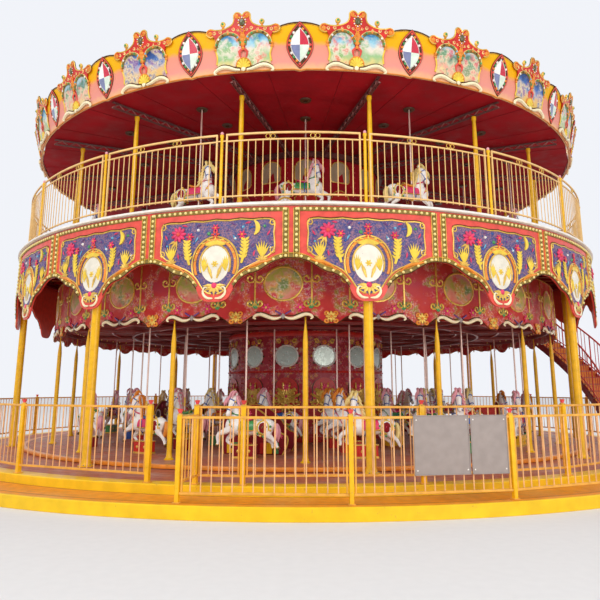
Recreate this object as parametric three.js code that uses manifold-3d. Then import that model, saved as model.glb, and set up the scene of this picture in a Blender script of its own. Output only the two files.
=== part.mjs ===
// Double-deck fairground carousel: a round station with fences, a ring balcony on pillars and a
// curved stair, and a turning carousel of two decks with galloping horses under a crowned canopy.
// Millimetres, +Z up, origin on the ground at the turning axis. Angles are counted in degrees from
// the entrance side (-Y) towards +X, so a piece built at the front is turned about Z into place.

import * as THREE from 'three';
import { mergeVertices } from 'three/addons/utils/BufferGeometryUtils.js';
import Module from 'manifold-3d';

const wasm = await Module();
wasm.setup();

// Driving dimensions.
const SEAT_GAP = 0.3;
const RING_SIDES = 36;
const FACET_HALF_ANGLE = Math.PI / RING_SIDES;

const STEP = { radius: 9100, top: 170 };
const FLOOR = { radius: 8350, top: 300 };
const BEARING = { radius: 900, top: 310 };
const TURNTABLE = { radius: 6900, bottom: 310 + SEAT_GAP, top: 375 };

const CORE_RADIUS = 2100;
const LOWER_CEILING = { radius: 6350, bottom: 3000, top: 3060 };
const LOWER_CROWN = { thickness: 45, bottom: 2680, top: 3900, bays: 24, phase: 4, lobe: 260 };
const UPPER_DECK = { radius: 6450, bottom: 4820, top: 4900 };

const SOFFIT = { radius: 7000, rim: 7170, rise: 530, thickness: 40 };
const VALANCE = { bottom: 7110, seam: 7230, top: 8190, lean: 215, thickness: 45, bays: 22, phase: -0.8 };
const VALANCE_LOBE = { crownHalf: 175, shoulderHalf: 630, shoulder: 7920, panel: 7950 };
const ROOF = { eaveRadius: 6950, eave: 7650, topRadius: 900, top: 9250, thickness: 60, seat: 240 };
const FINIAL = { base: 880, drum: 620, ball: 230, height: 1150, sides: 12 };

const BALCONY = { inner: 6100, outer: 7230, bottom: 4460, top: 4560 };
const KERB = { outer: 7330, top: 4615 };
const FASCIA = { outer: 7290, bays: 18, phase: -1.85, side: 3670, shoulder: 3330, pendant: 2970 };
const PILLAR = { radius: 7115, half: 78, count: 9, phase: 8.26, beamHeight: 120, beamHalf: 65 };
const RAILING = { radius: 7135, height: 1350, footRail: 110, phase: 8.26 };
const RAILING_BAR = { post: 50, rail: 36, bar: 20 };

const INNER_FENCE = { radius: 8240, height: 1036, post: 70, postHeight: 1110, footRail: 120, bars: 1 };
const ENTRANCE = { from: -15.7, to: -10.7, narrowTo: -6 };
const INNER_PANELS = 20;
const OUTER_FENCE = { radius: 8950, height: 1054, post: 60, postHeight: 1140, footRail: 120, bars: 2 };
const OUTER_RUN = { from: -10.5, panels: 6, panelAngle: 14.2 };
const FENCE_BAR = { size: 22, rail: 40 };
const BOARD = { height: 750, thickness: 14, bottom: 500, panel: 1.5 };
const BOARD_SPOTS = [{ across: 110, width: 770 }, { across: 775, width: 520 }];

const STAIR = { inner: 7420, outer: 8080, foot: 71, head: 126, landingEnd: 140.5, risers: 24, depth: 240 };
const LANDING = { top: 4600, thickness: 100, beamAngle: 1.2 };
const STAIR_RAIL = { height: 980, inset: 45, bar: 34, treadsPerBar: 4 };
const DOORWAY = { from: 128.26, to: 139.5 };

const COLUMN = { radius: 6250, half: 52, sides: 6, count: 16, footRing: 30 };
const LOWER_PIPES = { size: 70, outer: 6280 };
const UPPER_COLUMN_PHASE = 180 / COLUMN.count;
const FOOT_RING_HALF = 35;
const TRUSS = { depth: 140, chord: 30, width: 46, inner: 2160, outer: 6900, braces: 3, hubWidth: 90 };

const HORSE = { width: 250, travel: 220, restLift: 55 };
const POLE = { radius: 24, sides: 4, inGuide: 36, recess: 30 };
const CEILING_HOLE_RADIUS = 30;
const ROW_POSITIONS = 16;
const ROW_PHASE = 180 / ROW_POSITIONS;
const OUTER_ROW = { radius: 5600, belly: 440 };
const MIDDLE_ROW = { radius: 4550 };
const INNER_ROW = { radius: 3500 };
const UPPER_OUTER_ROW = { radius: 5600, positions: 8, phase: 22.5, belly: 440 };
const UPPER_INNER_ROW = { radius: 4550, positions: 4, phase: 0, belly: 640 };
const LOWER_PEDESTAL = { length: 420, width: 190, height: 240 };
const UPPER_PEDESTAL = { length: 560, width: 230, height: 420 };
const CARRIER_PIPE = { size: 56 };
const CHARIOT = { radius: 4550, count: 4, phase: -ROW_PHASE, width: 760, side: 50, seatHeight: 420 };

const COLOURS = {
  crimson: 0x7a1420, red: 0xc8202c, yellow: 0xf2b41c, gold: 0xd9a441, cream: 0xf3e6c8,
  floor: 0xb5643c, plum: 0x5a4a86, grey: 0x9a938c, white: 0xf2efe8, orange: 0xd8742c,
};

const group = new THREE.Group();

// Geometry helpers.

/** Adds up the volume under every triangle, so that its sign tells which way the faces point. */
function signedVolume(points, triangles) {
  const corner = [new THREE.Vector3(), new THREE.Vector3(), new THREE.Vector3()];
  let total = 0;
  for (let i = 0; i < triangles.length; i += 3) {
    corner.forEach((vector, k) => vector.fromArray(points, triangles[i + k] * 3));
    total += corner[0].dot(corner[1].clone().cross(corner[2])) / 6;
  }
  return total;
}

/** Turns a closed three.js geometry into a solid that can be joined and cut. */
function solidOf(geometry) {
  const bare = geometry.clone();
  bare.deleteAttribute('normal');
  bare.deleteAttribute('uv');
  const merged = mergeVertices(bare, 1e-3);
  const source = merged.index.array;
  const triangles = [];
  for (let i = 0; i < source.length; i += 3) {
    const [a, b, c] = [source[i], source[i + 1], source[i + 2]];
    if (a !== b && b !== c && c !== a) triangles.push(a, b, c);
  }
  const points = merged.attributes.position.array;
  if (signedVolume(points, triangles) < 0) triangles.reverse();
  const mesh = { numProp: 3, vertProperties: new Float32Array(points), triVerts: new Uint32Array(triangles) };
  return new wasm.Manifold(new wasm.Mesh(mesh));
}

/** Joins overlapping solids into one. */
function join(solids) {
  return solids.reduce((whole, next) => whole.add(next));
}

/** Takes several solids away from one. */
function cut(solid, tools) {
  return tools.reduce((rest, tool) => rest.subtract(tool), solid);
}

/** Names a solid, gives it a colour and puts it in the model. */
function addPiece(name, solid, colour, roughness = 0.5, metalness = 0) {
  const mesh = solid.getMesh();
  const geometry = new THREE.BufferGeometry();
  geometry.setAttribute('position', new THREE.BufferAttribute(new Float32Array(mesh.vertProperties), 3));
  geometry.setIndex(new THREE.BufferAttribute(new Uint32Array(mesh.triVerts), 1));
  geometry.computeVertexNormals();
  const material = new THREE.MeshStandardMaterial({ color: colour, roughness, metalness });
  const piece = new THREE.Mesh(geometry, material);
  piece.name = name;
  group.add(piece);
}

/** Turns a geometry built at the front to an angle round the axis. */
function turned(geometry, degrees) {
  return geometry.rotateZ(THREE.MathUtils.degToRad(degrees));
}

/** Revolves a closed outline of [radius, height] points about the axis. */
function revolve(points, sides = RING_SIDES) {
  const outline = [...points, points[0]].map(([radius, height]) => new THREE.Vector2(radius, height));
  return new THREE.LatheGeometry(outline, sides).rotateX(Math.PI / 2);
}

/** A ring of rectangular section. */
function ring(inner, outer, bottom, top) {
  return revolve([[inner, bottom], [outer, bottom], [outer, top], [inner, top]]);
}

/** A solid disc of the ring's sides. */
function disc(radius, bottom, top) {
  return revolve([[0, bottom], [radius, bottom], [radius, top], [0, top]]);
}

/** A box standing at the front at a radius: width across, depth along the radius. */
function frontBox(radius, width, depth, bottom, top, across = 0) {
  const box = new THREE.BoxGeometry(width, depth, top - bottom);
  return box.translate(across, -radius, (bottom + top) / 2);
}

/** An upright round bar at the front at a radius. */
function frontBar(radius, half, sides, bottom, top) {
  const bar = new THREE.CylinderGeometry(half, half, top - bottom, sides).rotateX(Math.PI / 2);
  return bar.translate(0, -radius, (bottom + top) / 2);
}

/** Extrudes an outline of [across, height] points along the radius, at the front. */
function frontPlate(outline, inner, outer) {
  const shape = new THREE.Shape(outline.map(([x, z]) => new THREE.Vector2(x, z)));
  const plate = new THREE.ExtrudeGeometry(shape, { depth: outer - inner, bevelEnabled: false });
  return plate.rotateX(Math.PI / 2).translate(0, -inner, 0);
}

/** The point at a radius, an angle and a height. */
function polar(radius, degrees, height) {
  const angle = THREE.MathUtils.degToRad(degrees);
  return new THREE.Vector3(radius * Math.sin(angle), -radius * Math.cos(angle), height);
}

/** A square bar from one point to another, with its upright faces kept upright. */
function barBetween(from, to, width, height = width) {
  const along = to.clone().sub(from);
  const bar = new THREE.BoxGeometry(along.length(), width, height);
  const flat = Math.hypot(along.x, along.y);
  bar.rotateY(-Math.atan2(along.z, flat)).rotateZ(Math.atan2(along.y, along.x));
  const middle = from.clone().add(to).multiplyScalar(0.5);
  return bar.translate(middle.x, middle.y, middle.z);
}

/** A block between two radii, two angles and two heights. */
function sector(inner, outer, from, to, bottom, top) {
  const plan = [[inner, from], [outer, from], [outer, to], [inner, to]].map(([radius, degrees]) => {
    const point = polar(radius, degrees, 0);
    return new THREE.Vector2(point.x, point.y);
  });
  const block = new THREE.ExtrudeGeometry(new THREE.Shape(plan), { depth: top - bottom, bevelEnabled: false });
  return block.translate(0, 0, bottom);
}

/** Equally spaced angles. */
function anglesOf(count, phase, spread = 360) {
  return Array.from({ length: count }, (unused, k) => phase + (k * spread) / count);
}

// Station: the floor, its step, the fences and the notice boards.

function addFloor() {
  const outline = [
    [0, 0], [FLOOR.radius, 0], [FLOOR.radius, FLOOR.top], [BEARING.radius, FLOOR.top],
    [BEARING.radius, BEARING.top], [0, BEARING.top],
  ];
  addPiece('station_floor', solidOf(revolve(outline)), COLOURS.floor, 0.7);
  const step = ring(FLOOR.radius + SEAT_GAP, STEP.radius, 0, STEP.top);
  addPiece('station_step', solidOf(step), COLOURS.orange, 0.7);
}

/** A straight fence panel between two angles, with its foot rail, top rail and bars. */
function fencePanel(fence, from, to, base) {
  const middleRadius = fence.radius * Math.cos(THREE.MathUtils.degToRad((to - from) / 2));
  const length = 2 * fence.radius * Math.sin(THREE.MathUtils.degToRad((to - from) / 2));
  const middle = (from + to) / 2;
  const footRail = base + fence.footRail;
  const topRail = base + fence.height;
  const half = FENCE_BAR.rail / 2;
  const parts = [footRail, topRail].map((height) =>
    frontBox(middleRadius, length, FENCE_BAR.rail, height - half, height + half));
  for (let k = 1; k <= fence.bars; k += 1) {
    const across = length * (k / (fence.bars + 1) - 0.5);
    parts.push(frontBox(middleRadius, FENCE_BAR.size, FENCE_BAR.size, footRail, topRail, across));
  }
  return parts.map((part) => solidOf(turned(part, middle)));
}

function fencePost(fence, degrees, base) {
  const post = frontBox(fence.radius, fence.post, fence.post, base + SEAT_GAP, base + fence.postHeight);
  return solidOf(turned(post, degrees));
}

/** A run of fence over a list of post angles. */
function fenceRun(fence, postAngles, base) {
  const parts = postAngles.map((degrees) => fencePost(fence, degrees, base));
  for (let k = 1; k < postAngles.length; k += 1) {
    parts.push(...fencePanel(fence, postAngles[k - 1], postAngles[k], base));
  }
  return parts;
}

function addInnerFence() {
  const turn = 360 + ENTRANCE.from - ENTRANCE.narrowTo;
  const wide = Array.from({ length: INNER_PANELS + 1 }, (unused, k) =>
    ENTRANCE.narrowTo + (turn * k) / INNER_PANELS);
  const half = INNER_PANELS / 2;
  const east = [ENTRANCE.to, ...wide.slice(0, half + 1)];
  const west = wide.slice(half);
  const clearance = THREE.MathUtils.radToDeg((INNER_FENCE.post / 2 + SEAT_GAP) / INNER_FENCE.radius);
  const westStart = west[0] + 2 * clearance;
  addPiece('inner_fence_east', join(fenceRun(INNER_FENCE, east, FLOOR.top)), COLOURS.yellow, 0.4);
  const westRun = fenceRun(INNER_FENCE, [westStart, ...west.slice(1)], FLOOR.top);
  addPiece('inner_fence_west', join(westRun), COLOURS.yellow, 0.4);
}

/** A short panel that closes the space between the two fences at the end of the outer one. */
function returnPanel(degrees) {
  const inner = INNER_FENCE.radius + INNER_FENCE.post / 2 + SEAT_GAP;
  const heights = [FLOOR.top + INNER_FENCE.footRail, STEP.top + OUTER_FENCE.height];
  const bars = heights.map((height) =>
    barBetween(polar(inner, degrees, height), polar(OUTER_FENCE.radius, degrees, height), FENCE_BAR.rail));
  const middle = (inner + OUTER_FENCE.radius) / 2;
  const upright = frontBox(middle, FENCE_BAR.size, FENCE_BAR.size, heights[0], heights[1]);
  return [...bars, turned(upright, degrees)].map(solidOf);
}

function addOuterFence() {
  const posts = Array.from({ length: OUTER_RUN.panels + 1 }, (unused, k) =>
    OUTER_RUN.from + k * OUTER_RUN.panelAngle);
  const parts = fenceRun(OUTER_FENCE, posts, STEP.top);
  parts.push(...returnPanel(posts[0]), ...returnPanel(posts[posts.length - 1]));
  addPiece('outer_fence', join(parts), COLOURS.yellow, 0.4);
}

function addBoards() {
  const chordRadius = OUTER_FENCE.radius * Math.cos(THREE.MathUtils.degToRad(OUTER_RUN.panelAngle / 2));
  const radius = chordRadius + FENCE_BAR.rail / 2 + SEAT_GAP + BOARD.thickness / 2;
  const degrees = OUTER_RUN.from + OUTER_RUN.panelAngle * BOARD.panel;
  BOARD_SPOTS.forEach(({ across, width }, k) => {
    const top = BOARD.bottom + BOARD.height;
    const board = frontBox(radius, width, BOARD.thickness, BOARD.bottom, top, across);
    addPiece(`notice_board_${k + 1}`, solidOf(turned(board, degrees)), COLOURS.grey, 0.5, 0.4);
  });
}

// Balcony: pillars, ring floor, painted fascia and railing.

function addBalconyFrame() {
  const beamTop = BALCONY.bottom - SEAT_GAP;
  const beamBottom = beamTop - PILLAR.beamHeight;
  const inner = PILLAR.radius - PILLAR.beamHalf;
  const parts = [solidOf(ring(inner, PILLAR.radius + PILLAR.beamHalf, beamBottom, beamTop))];
  for (const degrees of anglesOf(PILLAR.count, PILLAR.phase)) {
    const pillar = frontBar(PILLAR.radius, PILLAR.half, 8, FLOOR.top + SEAT_GAP, beamTop - 40);
    parts.push(solidOf(turned(pillar, degrees)));
  }
  addPiece('balcony_frame', join(parts), COLOURS.yellow, 0.35);
}

function addBalconyFloor() {
  const floor = ring(BALCONY.inner, BALCONY.outer, BALCONY.bottom, BALCONY.top);
  addPiece('balcony_floor', solidOf(floor), COLOURS.crimson, 0.7);
}

/** What is cut away under one bay of the fascia, so that a pendant shows in its middle. */
function fasciaCut(degrees) {
  const half = (Math.PI * FASCIA.outer) / FASCIA.bays;
  const low = FASCIA.pendant - 200;
  const outline = [
    [-half, low], [half, low], [half, FASCIA.side], [half * 0.5, FASCIA.shoulder],
    [half * 0.2, FASCIA.pendant], [-half * 0.2, FASCIA.pendant], [-half * 0.5, FASCIA.shoulder],
    [-half, FASCIA.side],
  ];
  const plate = frontPlate(outline, BALCONY.outer - 300, KERB.outer + 100);
  return solidOf(turned(plate, degrees));
}

function addFascia() {
  const outline = [
    [BALCONY.outer + SEAT_GAP, FASCIA.pendant - 100], [FASCIA.outer, FASCIA.pendant - 100],
    [FASCIA.outer, BALCONY.top], [KERB.outer, BALCONY.top], [KERB.outer, KERB.top],
    [BALCONY.outer + SEAT_GAP, KERB.top],
  ];
  const bayCentres = anglesOf(FASCIA.bays, FASCIA.phase + 180 / FASCIA.bays);
  const fascia = cut(solidOf(revolve(outline)), bayCentres.map(fasciaCut));
  addPiece('balcony_fascia', fascia, COLOURS.plum, 0.5);
}

/** An upright of the railing, from the foot rail or the floor into the hand rail. */
function railingUpright(size, bottom, degrees) {
  const top = BALCONY.top + RAILING.height;
  return solidOf(turned(frontBox(RAILING.radius, size, size, bottom, top), degrees));
}

function addRailing() {
  const base = BALCONY.top;
  const half = RAILING_BAR.rail / 2;
  const [foot, hand] = [RAILING.footRail, RAILING.height].map((height) =>
    solidOf(ring(RAILING.radius - half, RAILING.radius + half, base + height - half, base + height + half)));
  const halfBay = 180 / FASCIA.bays;
  const uprights = anglesOf(FASCIA.bays, RAILING.phase).flatMap((degrees) => [
    railingUpright(RAILING_BAR.post, base + SEAT_GAP, degrees),
    railingUpright(RAILING_BAR.bar, base + RAILING.footRail, degrees + halfBay),
  ]);
  const span = RAILING_BAR.post * 2;
  const opening = sector(RAILING.radius - span, RAILING.radius + span, DOORWAY.from, DOORWAY.to,
    base, base + RAILING.height + span);
  const doorPosts = [DOORWAY.from, DOORWAY.to].map((degrees) =>
    railingUpright(RAILING_BAR.post, base + SEAT_GAP, degrees));
  const railing = cut(join([foot, hand, ...uprights]), [solidOf(opening)]);
  addPiece('balcony_railing', join([railing, ...doorPosts]), COLOURS.yellow, 0.35);
}

// Stair: a curved flight outside the balcony, its landing and its two hand rails.

const RISE = (LANDING.top - FLOOR.top) / STAIR.risers;
const TREAD_ANGLE = (STAIR.head - STAIR.foot) / (STAIR.risers - 1);

function treadTop(k) {
  return FLOOR.top + RISE * (k + 1);
}

function addFlight() {
  const lap = 0.1;
  const parts = [];
  for (let k = 0; k < STAIR.risers - 1; k += 1) {
    const from = STAIR.foot + TREAD_ANGLE * k;
    const bottom = Math.max(FLOOR.top + SEAT_GAP, treadTop(k) - STAIR.depth);
    parts.push(solidOf(sector(STAIR.inner, STAIR.outer, from, from + TREAD_ANGLE + lap, bottom, treadTop(k))));
  }
  const landing = sector(STAIR.inner, STAIR.outer, STAIR.head, STAIR.landingEnd,
    LANDING.top - LANDING.thickness, LANDING.top);
  const apronRing = solidOf(ring(KERB.outer + SEAT_GAP, STAIR.inner + 60, LANDING.top - 40, LANDING.top));
  const reach = sector(BALCONY.inner, STAIR.outer, STAIR.head, STAIR.landingEnd, 0, 2 * LANDING.top);
  const apron = apronRing.intersect(solidOf(reach));
  const beam = sector(STAIR.inner, STAIR.outer, STAIR.head, STAIR.head + LANDING.beamAngle,
    LANDING.top - STAIR.depth, LANDING.top);
  parts.push(solidOf(landing), solidOf(beam), apron);
  addPiece('stair_flight', join(parts), COLOURS.crimson, 0.6);
}

/** A hand rail over the treads at one radius, as bars on treads joined by a sloping rail. */
function railPoints(radius) {
  const points = [];
  for (let k = 1; k < STAIR.risers - 1; k += STAIR_RAIL.treadsPerBar) {
    points.push({ radius, degrees: STAIR.foot + TREAD_ANGLE * (k + 0.5), base: treadTop(k) });
  }
  return points;
}

/** Upright bars at the points, joined at hand height. */
function railing(points) {
  const tops = points.map(({ radius, degrees, base }) => polar(radius, degrees, base + STAIR_RAIL.height));
  const parts = points.map(({ radius, degrees, base }) => turned(
    frontBox(radius, STAIR_RAIL.bar, STAIR_RAIL.bar, base + SEAT_GAP, base + STAIR_RAIL.height), degrees));
  for (let k = 1; k < tops.length; k += 1) {
    parts.push(barBetween(tops[k - 1], tops[k], STAIR_RAIL.bar * 1.3));
  }
  return join(parts.map(solidOf));
}

function addStairRails() {
  const inner = STAIR.inner + STAIR_RAIL.inset;
  const outer = STAIR.outer - STAIR_RAIL.inset;
  const end = STAIR.landingEnd - 0.6;
  const landingPoints = [
    { radius: outer, degrees: (STAIR.head + end) / 2, base: LANDING.top },
    { radius: outer, degrees: end, base: LANDING.top },
    { radius: inner, degrees: end, base: LANDING.top },
  ];
  addPiece('stair_rail_inner', railing(railPoints(inner)), COLOURS.red, 0.45);
  addPiece('stair_rail_outer', railing([...railPoints(outer), ...landingPoints]), COLOURS.red, 0.45);
}

// Horses and what they stand over.

/** Which way the horses of each deck look at the front: 1 is to +X. */
const FACING = { lower: -1, upper: 1 };

/** Side view of a galloping horse, in millimetres from the pole and over the belly, nose to +X. */
const HORSE_OUTLINE = [
  [-620, -40], [-560, 190], [-440, 280], [-60, 262], [120, 300], [320, 690], [400, 700], [585, 430],
  [430, 400], [335, 110], [560, -10], [520, -190], [200, 10], [-220, 5], [-520, -245], [-600, -215],
];

/** The solid of one horse at the front of a row, with its belly at a height, facing as its deck does. */
function horseBody(radius, belly, facing) {
  const outline = HORSE_OUTLINE.map(([x, z]) => [x * facing, z + belly]);
  if (facing < 0) outline.reverse();
  return frontPlate(outline, radius - HORSE.width / 2, radius + HORSE.width / 2);
}

/** A horse on a pole whose foot stays in the guide over the whole travel. */
function movingHorse(row, deckTop, guide, lift, poleTop, facing) {
  const belly = deckTop + row.belly + lift;
  const bottom = deckTop + guide.height - POLE.inGuide - HORSE.travel / 2 + lift;
  const pole = frontBar(row.radius, POLE.radius, POLE.sides, bottom, poleTop + lift);
  return [horseBody(row.radius, belly, facing), pole];
}

/** The block that a pole slides in, with its guide hole. */
function pedestal(row, size, deckTop) {
  return frontBox(row.radius, size.length, size.width, deckTop, deckTop + size.height);
}

function guideHole(row, bottom, top, radius) {
  return frontBar(row.radius, radius, POLE.sides, bottom, top);
}

const ROW_ANGLES = anglesOf(ROW_POSITIONS, ROW_PHASE);
const MOVING_ANGLES = ROW_ANGLES.filter((unused, k) => k % 4 !== 1);
const FIXED_ANGLES = ROW_ANGLES.filter((unused, k) => k % 4 === 1);
const BESIDE_CHARIOTS = ROW_ANGLES.filter((unused, k) => k % 4 !== 3);
const UPPER_OUTER_ANGLES = anglesOf(UPPER_OUTER_ROW.positions, UPPER_OUTER_ROW.phase);
const UPPER_INNER_ANGLES = anglesOf(UPPER_INNER_ROW.positions, UPPER_INNER_ROW.phase);

/** Horses of one row, all resting by the same lift from the middle of their travel. */
function addHorses(name, first, row, angles, deckTop, guide, lift, poleTop, facing) {
  angles.forEach((degrees, k) => {
    const parts = movingHorse(row, deckTop, guide, lift, poleTop, facing);
    const solids = parts.map((part) => solidOf(turned(part, degrees)));
    addPiece(`${name}_${first + k}`, join(solids), COLOURS.white, 0.35);
  });
}

/** A deck with a pedestal and a deep guide hole under every moving horse. */
function deckWithPedestals(deck, row, angles, size, deckTop) {
  const blocks = angles.map((degrees) => solidOf(turned(pedestal(row, size, deckTop - 10), degrees)));
  const holeTop = deckTop + size.height + 50;
  const holeRadius = POLE.radius + SEAT_GAP / Math.cos(Math.PI / POLE.sides);
  const holes = angles.map((degrees) =>
    solidOf(turned(guideHole(row, deckTop - POLE.recess, holeTop, holeRadius), degrees)));
  return cut(join([deck, ...blocks]), holes);
}

// Lower deck of the turning carousel.

const CARRIER_TOP = LOWER_CEILING.bottom - SEAT_GAP - LOWER_PIPES.size - SEAT_GAP;

function addTurntable() {
  const deck = solidOf(disc(TURNTABLE.radius, TURNTABLE.bottom, TURNTABLE.top));
  const whole = deckWithPedestals(deck, OUTER_ROW, MOVING_ANGLES, LOWER_PEDESTAL, TURNTABLE.top);
  addPiece('turntable', whole, COLOURS.orange, 0.6);
}

function addLowerCore() {
  const core = disc(CORE_RADIUS, TURNTABLE.top + SEAT_GAP, LOWER_CEILING.bottom - SEAT_GAP);
  addPiece('lower_core', solidOf(core), COLOURS.crimson, 0.5);
}

function addLowerFrame() {
  const top = LOWER_CEILING.bottom - SEAT_GAP;
  const bottom = top - LOWER_PIPES.size;
  const half = LOWER_PIPES.size / 2;
  const parts = [solidOf(ring(COLUMN.radius - half, COLUMN.radius + half, bottom, top))];
  const inner = CORE_RADIUS + SEAT_GAP;
  const length = LOWER_PIPES.outer - inner;
  for (const degrees of anglesOf(COLUMN.count, 0)) {
    const column = frontBar(COLUMN.radius, COLUMN.half, COLUMN.sides, TURNTABLE.top + SEAT_GAP, bottom + 20);
    const pipe = frontBox(inner + length / 2, LOWER_PIPES.size, length, bottom, top);
    parts.push(solidOf(turned(column, degrees)), solidOf(turned(pipe, degrees)));
  }
  addPiece('lower_frame', join(parts), COLOURS.yellow, 0.35);
}

function addLowerCeiling() {
  const plate = solidOf(disc(LOWER_CEILING.radius, LOWER_CEILING.bottom, LOWER_CEILING.top));
  const holes = MOVING_ANGLES.map((degrees) => solidOf(turned(guideHole(OUTER_ROW,
    LOWER_CEILING.bottom - 20, LOWER_CEILING.top + 20, CEILING_HOLE_RADIUS), degrees)));
  addPiece('lower_ceiling', cut(plate, holes), COLOURS.crimson, 0.6);
}

/** What is cut away under one bay of the lower crown, leaving a lobe at each bay line. */
function crownCut(degrees) {
  const half = (Math.PI * LOWER_CEILING.radius) / LOWER_CROWN.bays;
  const { bottom, lobe } = LOWER_CROWN;
  const outline = [
    [-half + lobe / 2, bottom - 100], [half - lobe / 2, bottom - 100], [half - lobe / 2, bottom + lobe * 0.3],
    [0, bottom + lobe * 0.5], [-half + lobe / 2, bottom + lobe * 0.3],
  ];
  return solidOf(turned(frontPlate(outline, LOWER_CEILING.radius - 300, LOWER_CEILING.radius + 300), degrees));
}

function addLowerCrown() {
  const inner = LOWER_CEILING.radius + SEAT_GAP;
  const crown = solidOf(ring(inner, inner + LOWER_CROWN.thickness, LOWER_CROWN.bottom, LOWER_CROWN.top));
  const centres = anglesOf(LOWER_CROWN.bays, LOWER_CROWN.phase + 180 / LOWER_CROWN.bays);
  addPiece('lower_crown', cut(crown, centres.map(crownCut)), COLOURS.red, 0.5);
}

/** Fixed horses of the three lower rows, carried by pipes under the ceiling. */
function addStandingHorses() {
  const top = CARRIER_TOP;
  const bottom = top - CARRIER_PIPE.size;
  const half = CARRIER_PIPE.size / 2;
  const parts = [MIDDLE_ROW, INNER_ROW].map(({ radius }) => ring(radius - half, radius + half, bottom, top));
  const addOne = (row, degrees) => {
    const belly = TURNTABLE.top + OUTER_ROW.belly;
    const pole = frontBar(row.radius, POLE.radius, POLE.sides, TURNTABLE.top + SEAT_GAP, bottom + 20);
    parts.push(turned(horseBody(row.radius, belly, FACING.lower), degrees), turned(pole, degrees));
  };
  BESIDE_CHARIOTS.forEach((degrees) => addOne(MIDDLE_ROW, degrees));
  ROW_ANGLES.forEach((degrees) => addOne(INNER_ROW, degrees));
  FIXED_ANGLES.forEach((degrees) => {
    addOne(OUTER_ROW, degrees);
    const length = OUTER_ROW.radius - INNER_ROW.radius + half;
    parts.push(turned(frontBox(INNER_ROW.radius + length / 2, CARRIER_PIPE.size, length, bottom, top), degrees));
  });
  addPiece('lower_standing_horses', join(parts.map(solidOf)), COLOURS.cream, 0.35);
}

/** A bench between two scrolled sides. */
function addChariots() {
  const base = TURNTABLE.top + SEAT_GAP;
  const side = [
    [-620, base], [560, base], [640, base + 330], [330, base + 380], [120, base + 640],
    [-220, base + 900], [-520, base + 820], [-660, base + 480],
  ];
  const inner = CHARIOT.radius - CHARIOT.width / 2;
  const outer = CHARIOT.radius + CHARIOT.width / 2;
  anglesOf(CHARIOT.count, CHARIOT.phase).forEach((degrees, k) => {
    const parts = [
      frontPlate(side, inner, inner + CHARIOT.side),
      frontPlate(side, outer - CHARIOT.side, outer),
      frontBox(CHARIOT.radius, 420, CHARIOT.width - 20, base + 10, base + CHARIOT.seatHeight, -330),
      frontBox(CHARIOT.radius, 70, CHARIOT.width - 20, base + 10, base + 800, -500),
      frontBox(CHARIOT.radius, 700, CHARIOT.width - 20, base + 10, base + 60, 200),
    ];
    const whole = join(parts.map((part) => solidOf(turned(part, degrees))));
    addPiece(`lower_chariot_${k + 1}`, whole, COLOURS.cream, 0.4);
  });
}

// Upper deck and canopy of the turning carousel.

function soffitAt(radius) {
  return SOFFIT.rim + SOFFIT.rise * (1 - radius / SOFFIT.radius);
}

/** Height of the soffit's underside over the middle of a facet, where the trusses run. */
function soffitOverTruss(radius) {
  return soffitAt(radius / Math.cos(FACET_HALF_ANGLE)) - SEAT_GAP;
}

function addUpperDeck() {
  const outline = [
    [0, LOWER_CEILING.top + SEAT_GAP], [CORE_RADIUS, LOWER_CEILING.top + SEAT_GAP],
    [CORE_RADIUS, UPPER_DECK.bottom], [UPPER_DECK.radius, UPPER_DECK.bottom],
    [UPPER_DECK.radius, UPPER_DECK.top], [0, UPPER_DECK.top],
  ];
  const deck = solidOf(revolve(outline));
  const outer = deckWithPedestals(deck, UPPER_OUTER_ROW, UPPER_OUTER_ANGLES, LOWER_PEDESTAL, UPPER_DECK.top);
  const whole = deckWithPedestals(outer, UPPER_INNER_ROW, UPPER_INNER_ANGLES, UPPER_PEDESTAL, UPPER_DECK.top);
  addPiece('upper_deck', whole, COLOURS.cream, 0.6);
}

function addUpperCore() {
  const core = disc(CORE_RADIUS, UPPER_DECK.top + SEAT_GAP, soffitAt(CORE_RADIUS) + SOFFIT.thickness);
  addPiece('upper_core', solidOf(core), COLOURS.crimson, 0.5);
}

function addUpperFrame() {
  const foot = UPPER_DECK.top + SEAT_GAP;
  const top = soffitOverTruss(COLUMN.radius + COLUMN.half) - TRUSS.depth - SEAT_GAP;
  const rim = ring(COLUMN.radius - FOOT_RING_HALF, COLUMN.radius + FOOT_RING_HALF, foot, foot + COLUMN.footRing);
  const parts = [solidOf(rim)];
  for (const degrees of anglesOf(COLUMN.count, UPPER_COLUMN_PHASE)) {
    const column = frontBar(COLUMN.radius - 5, COLUMN.half, COLUMN.sides, foot, top);
    parts.push(solidOf(turned(column, degrees)));
  }
  addPiece('upper_frame', join(parts), COLOURS.yellow, 0.35);
}

/** One radial lattice truss: a narrow plate on edge with a zigzag of openings. */
function truss(degrees) {
  const at = (radius, drop) => new THREE.Vector2(radius, soffitOverTruss(radius) - drop);
  const low = TRUSS.depth - TRUSS.chord;
  const shape = new THREE.Shape([
    at(TRUSS.inner, 0), at(TRUSS.inner, TRUSS.depth), at(TRUSS.outer, TRUSS.depth), at(TRUSS.outer, 0),
  ]);
  const first = TRUSS.inner + TRUSS.hubWidth;
  const pitch = (TRUSS.outer - first - TRUSS.chord) / TRUSS.braces;
  for (let k = 0; k < TRUSS.braces; k += 1) {
    const [from, to] = [first + pitch * k + TRUSS.chord, first + pitch * (k + 1) - TRUSS.chord];
    const [wide, narrow] = k % 2 === 0 ? [TRUSS.chord, low] : [low, TRUSS.chord];
    shape.holes.push(new THREE.Path([at(from, wide), at(to, wide), at((from + to) / 2, narrow)]));
  }
  const plate = new THREE.ExtrudeGeometry(shape, { depth: TRUSS.width, bevelEnabled: false });
  plate.rotateX(Math.PI / 2).rotateZ(-Math.PI / 2).translate(TRUSS.width / 2, 0, 0);
  return solidOf(turned(plate, degrees));
}

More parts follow.
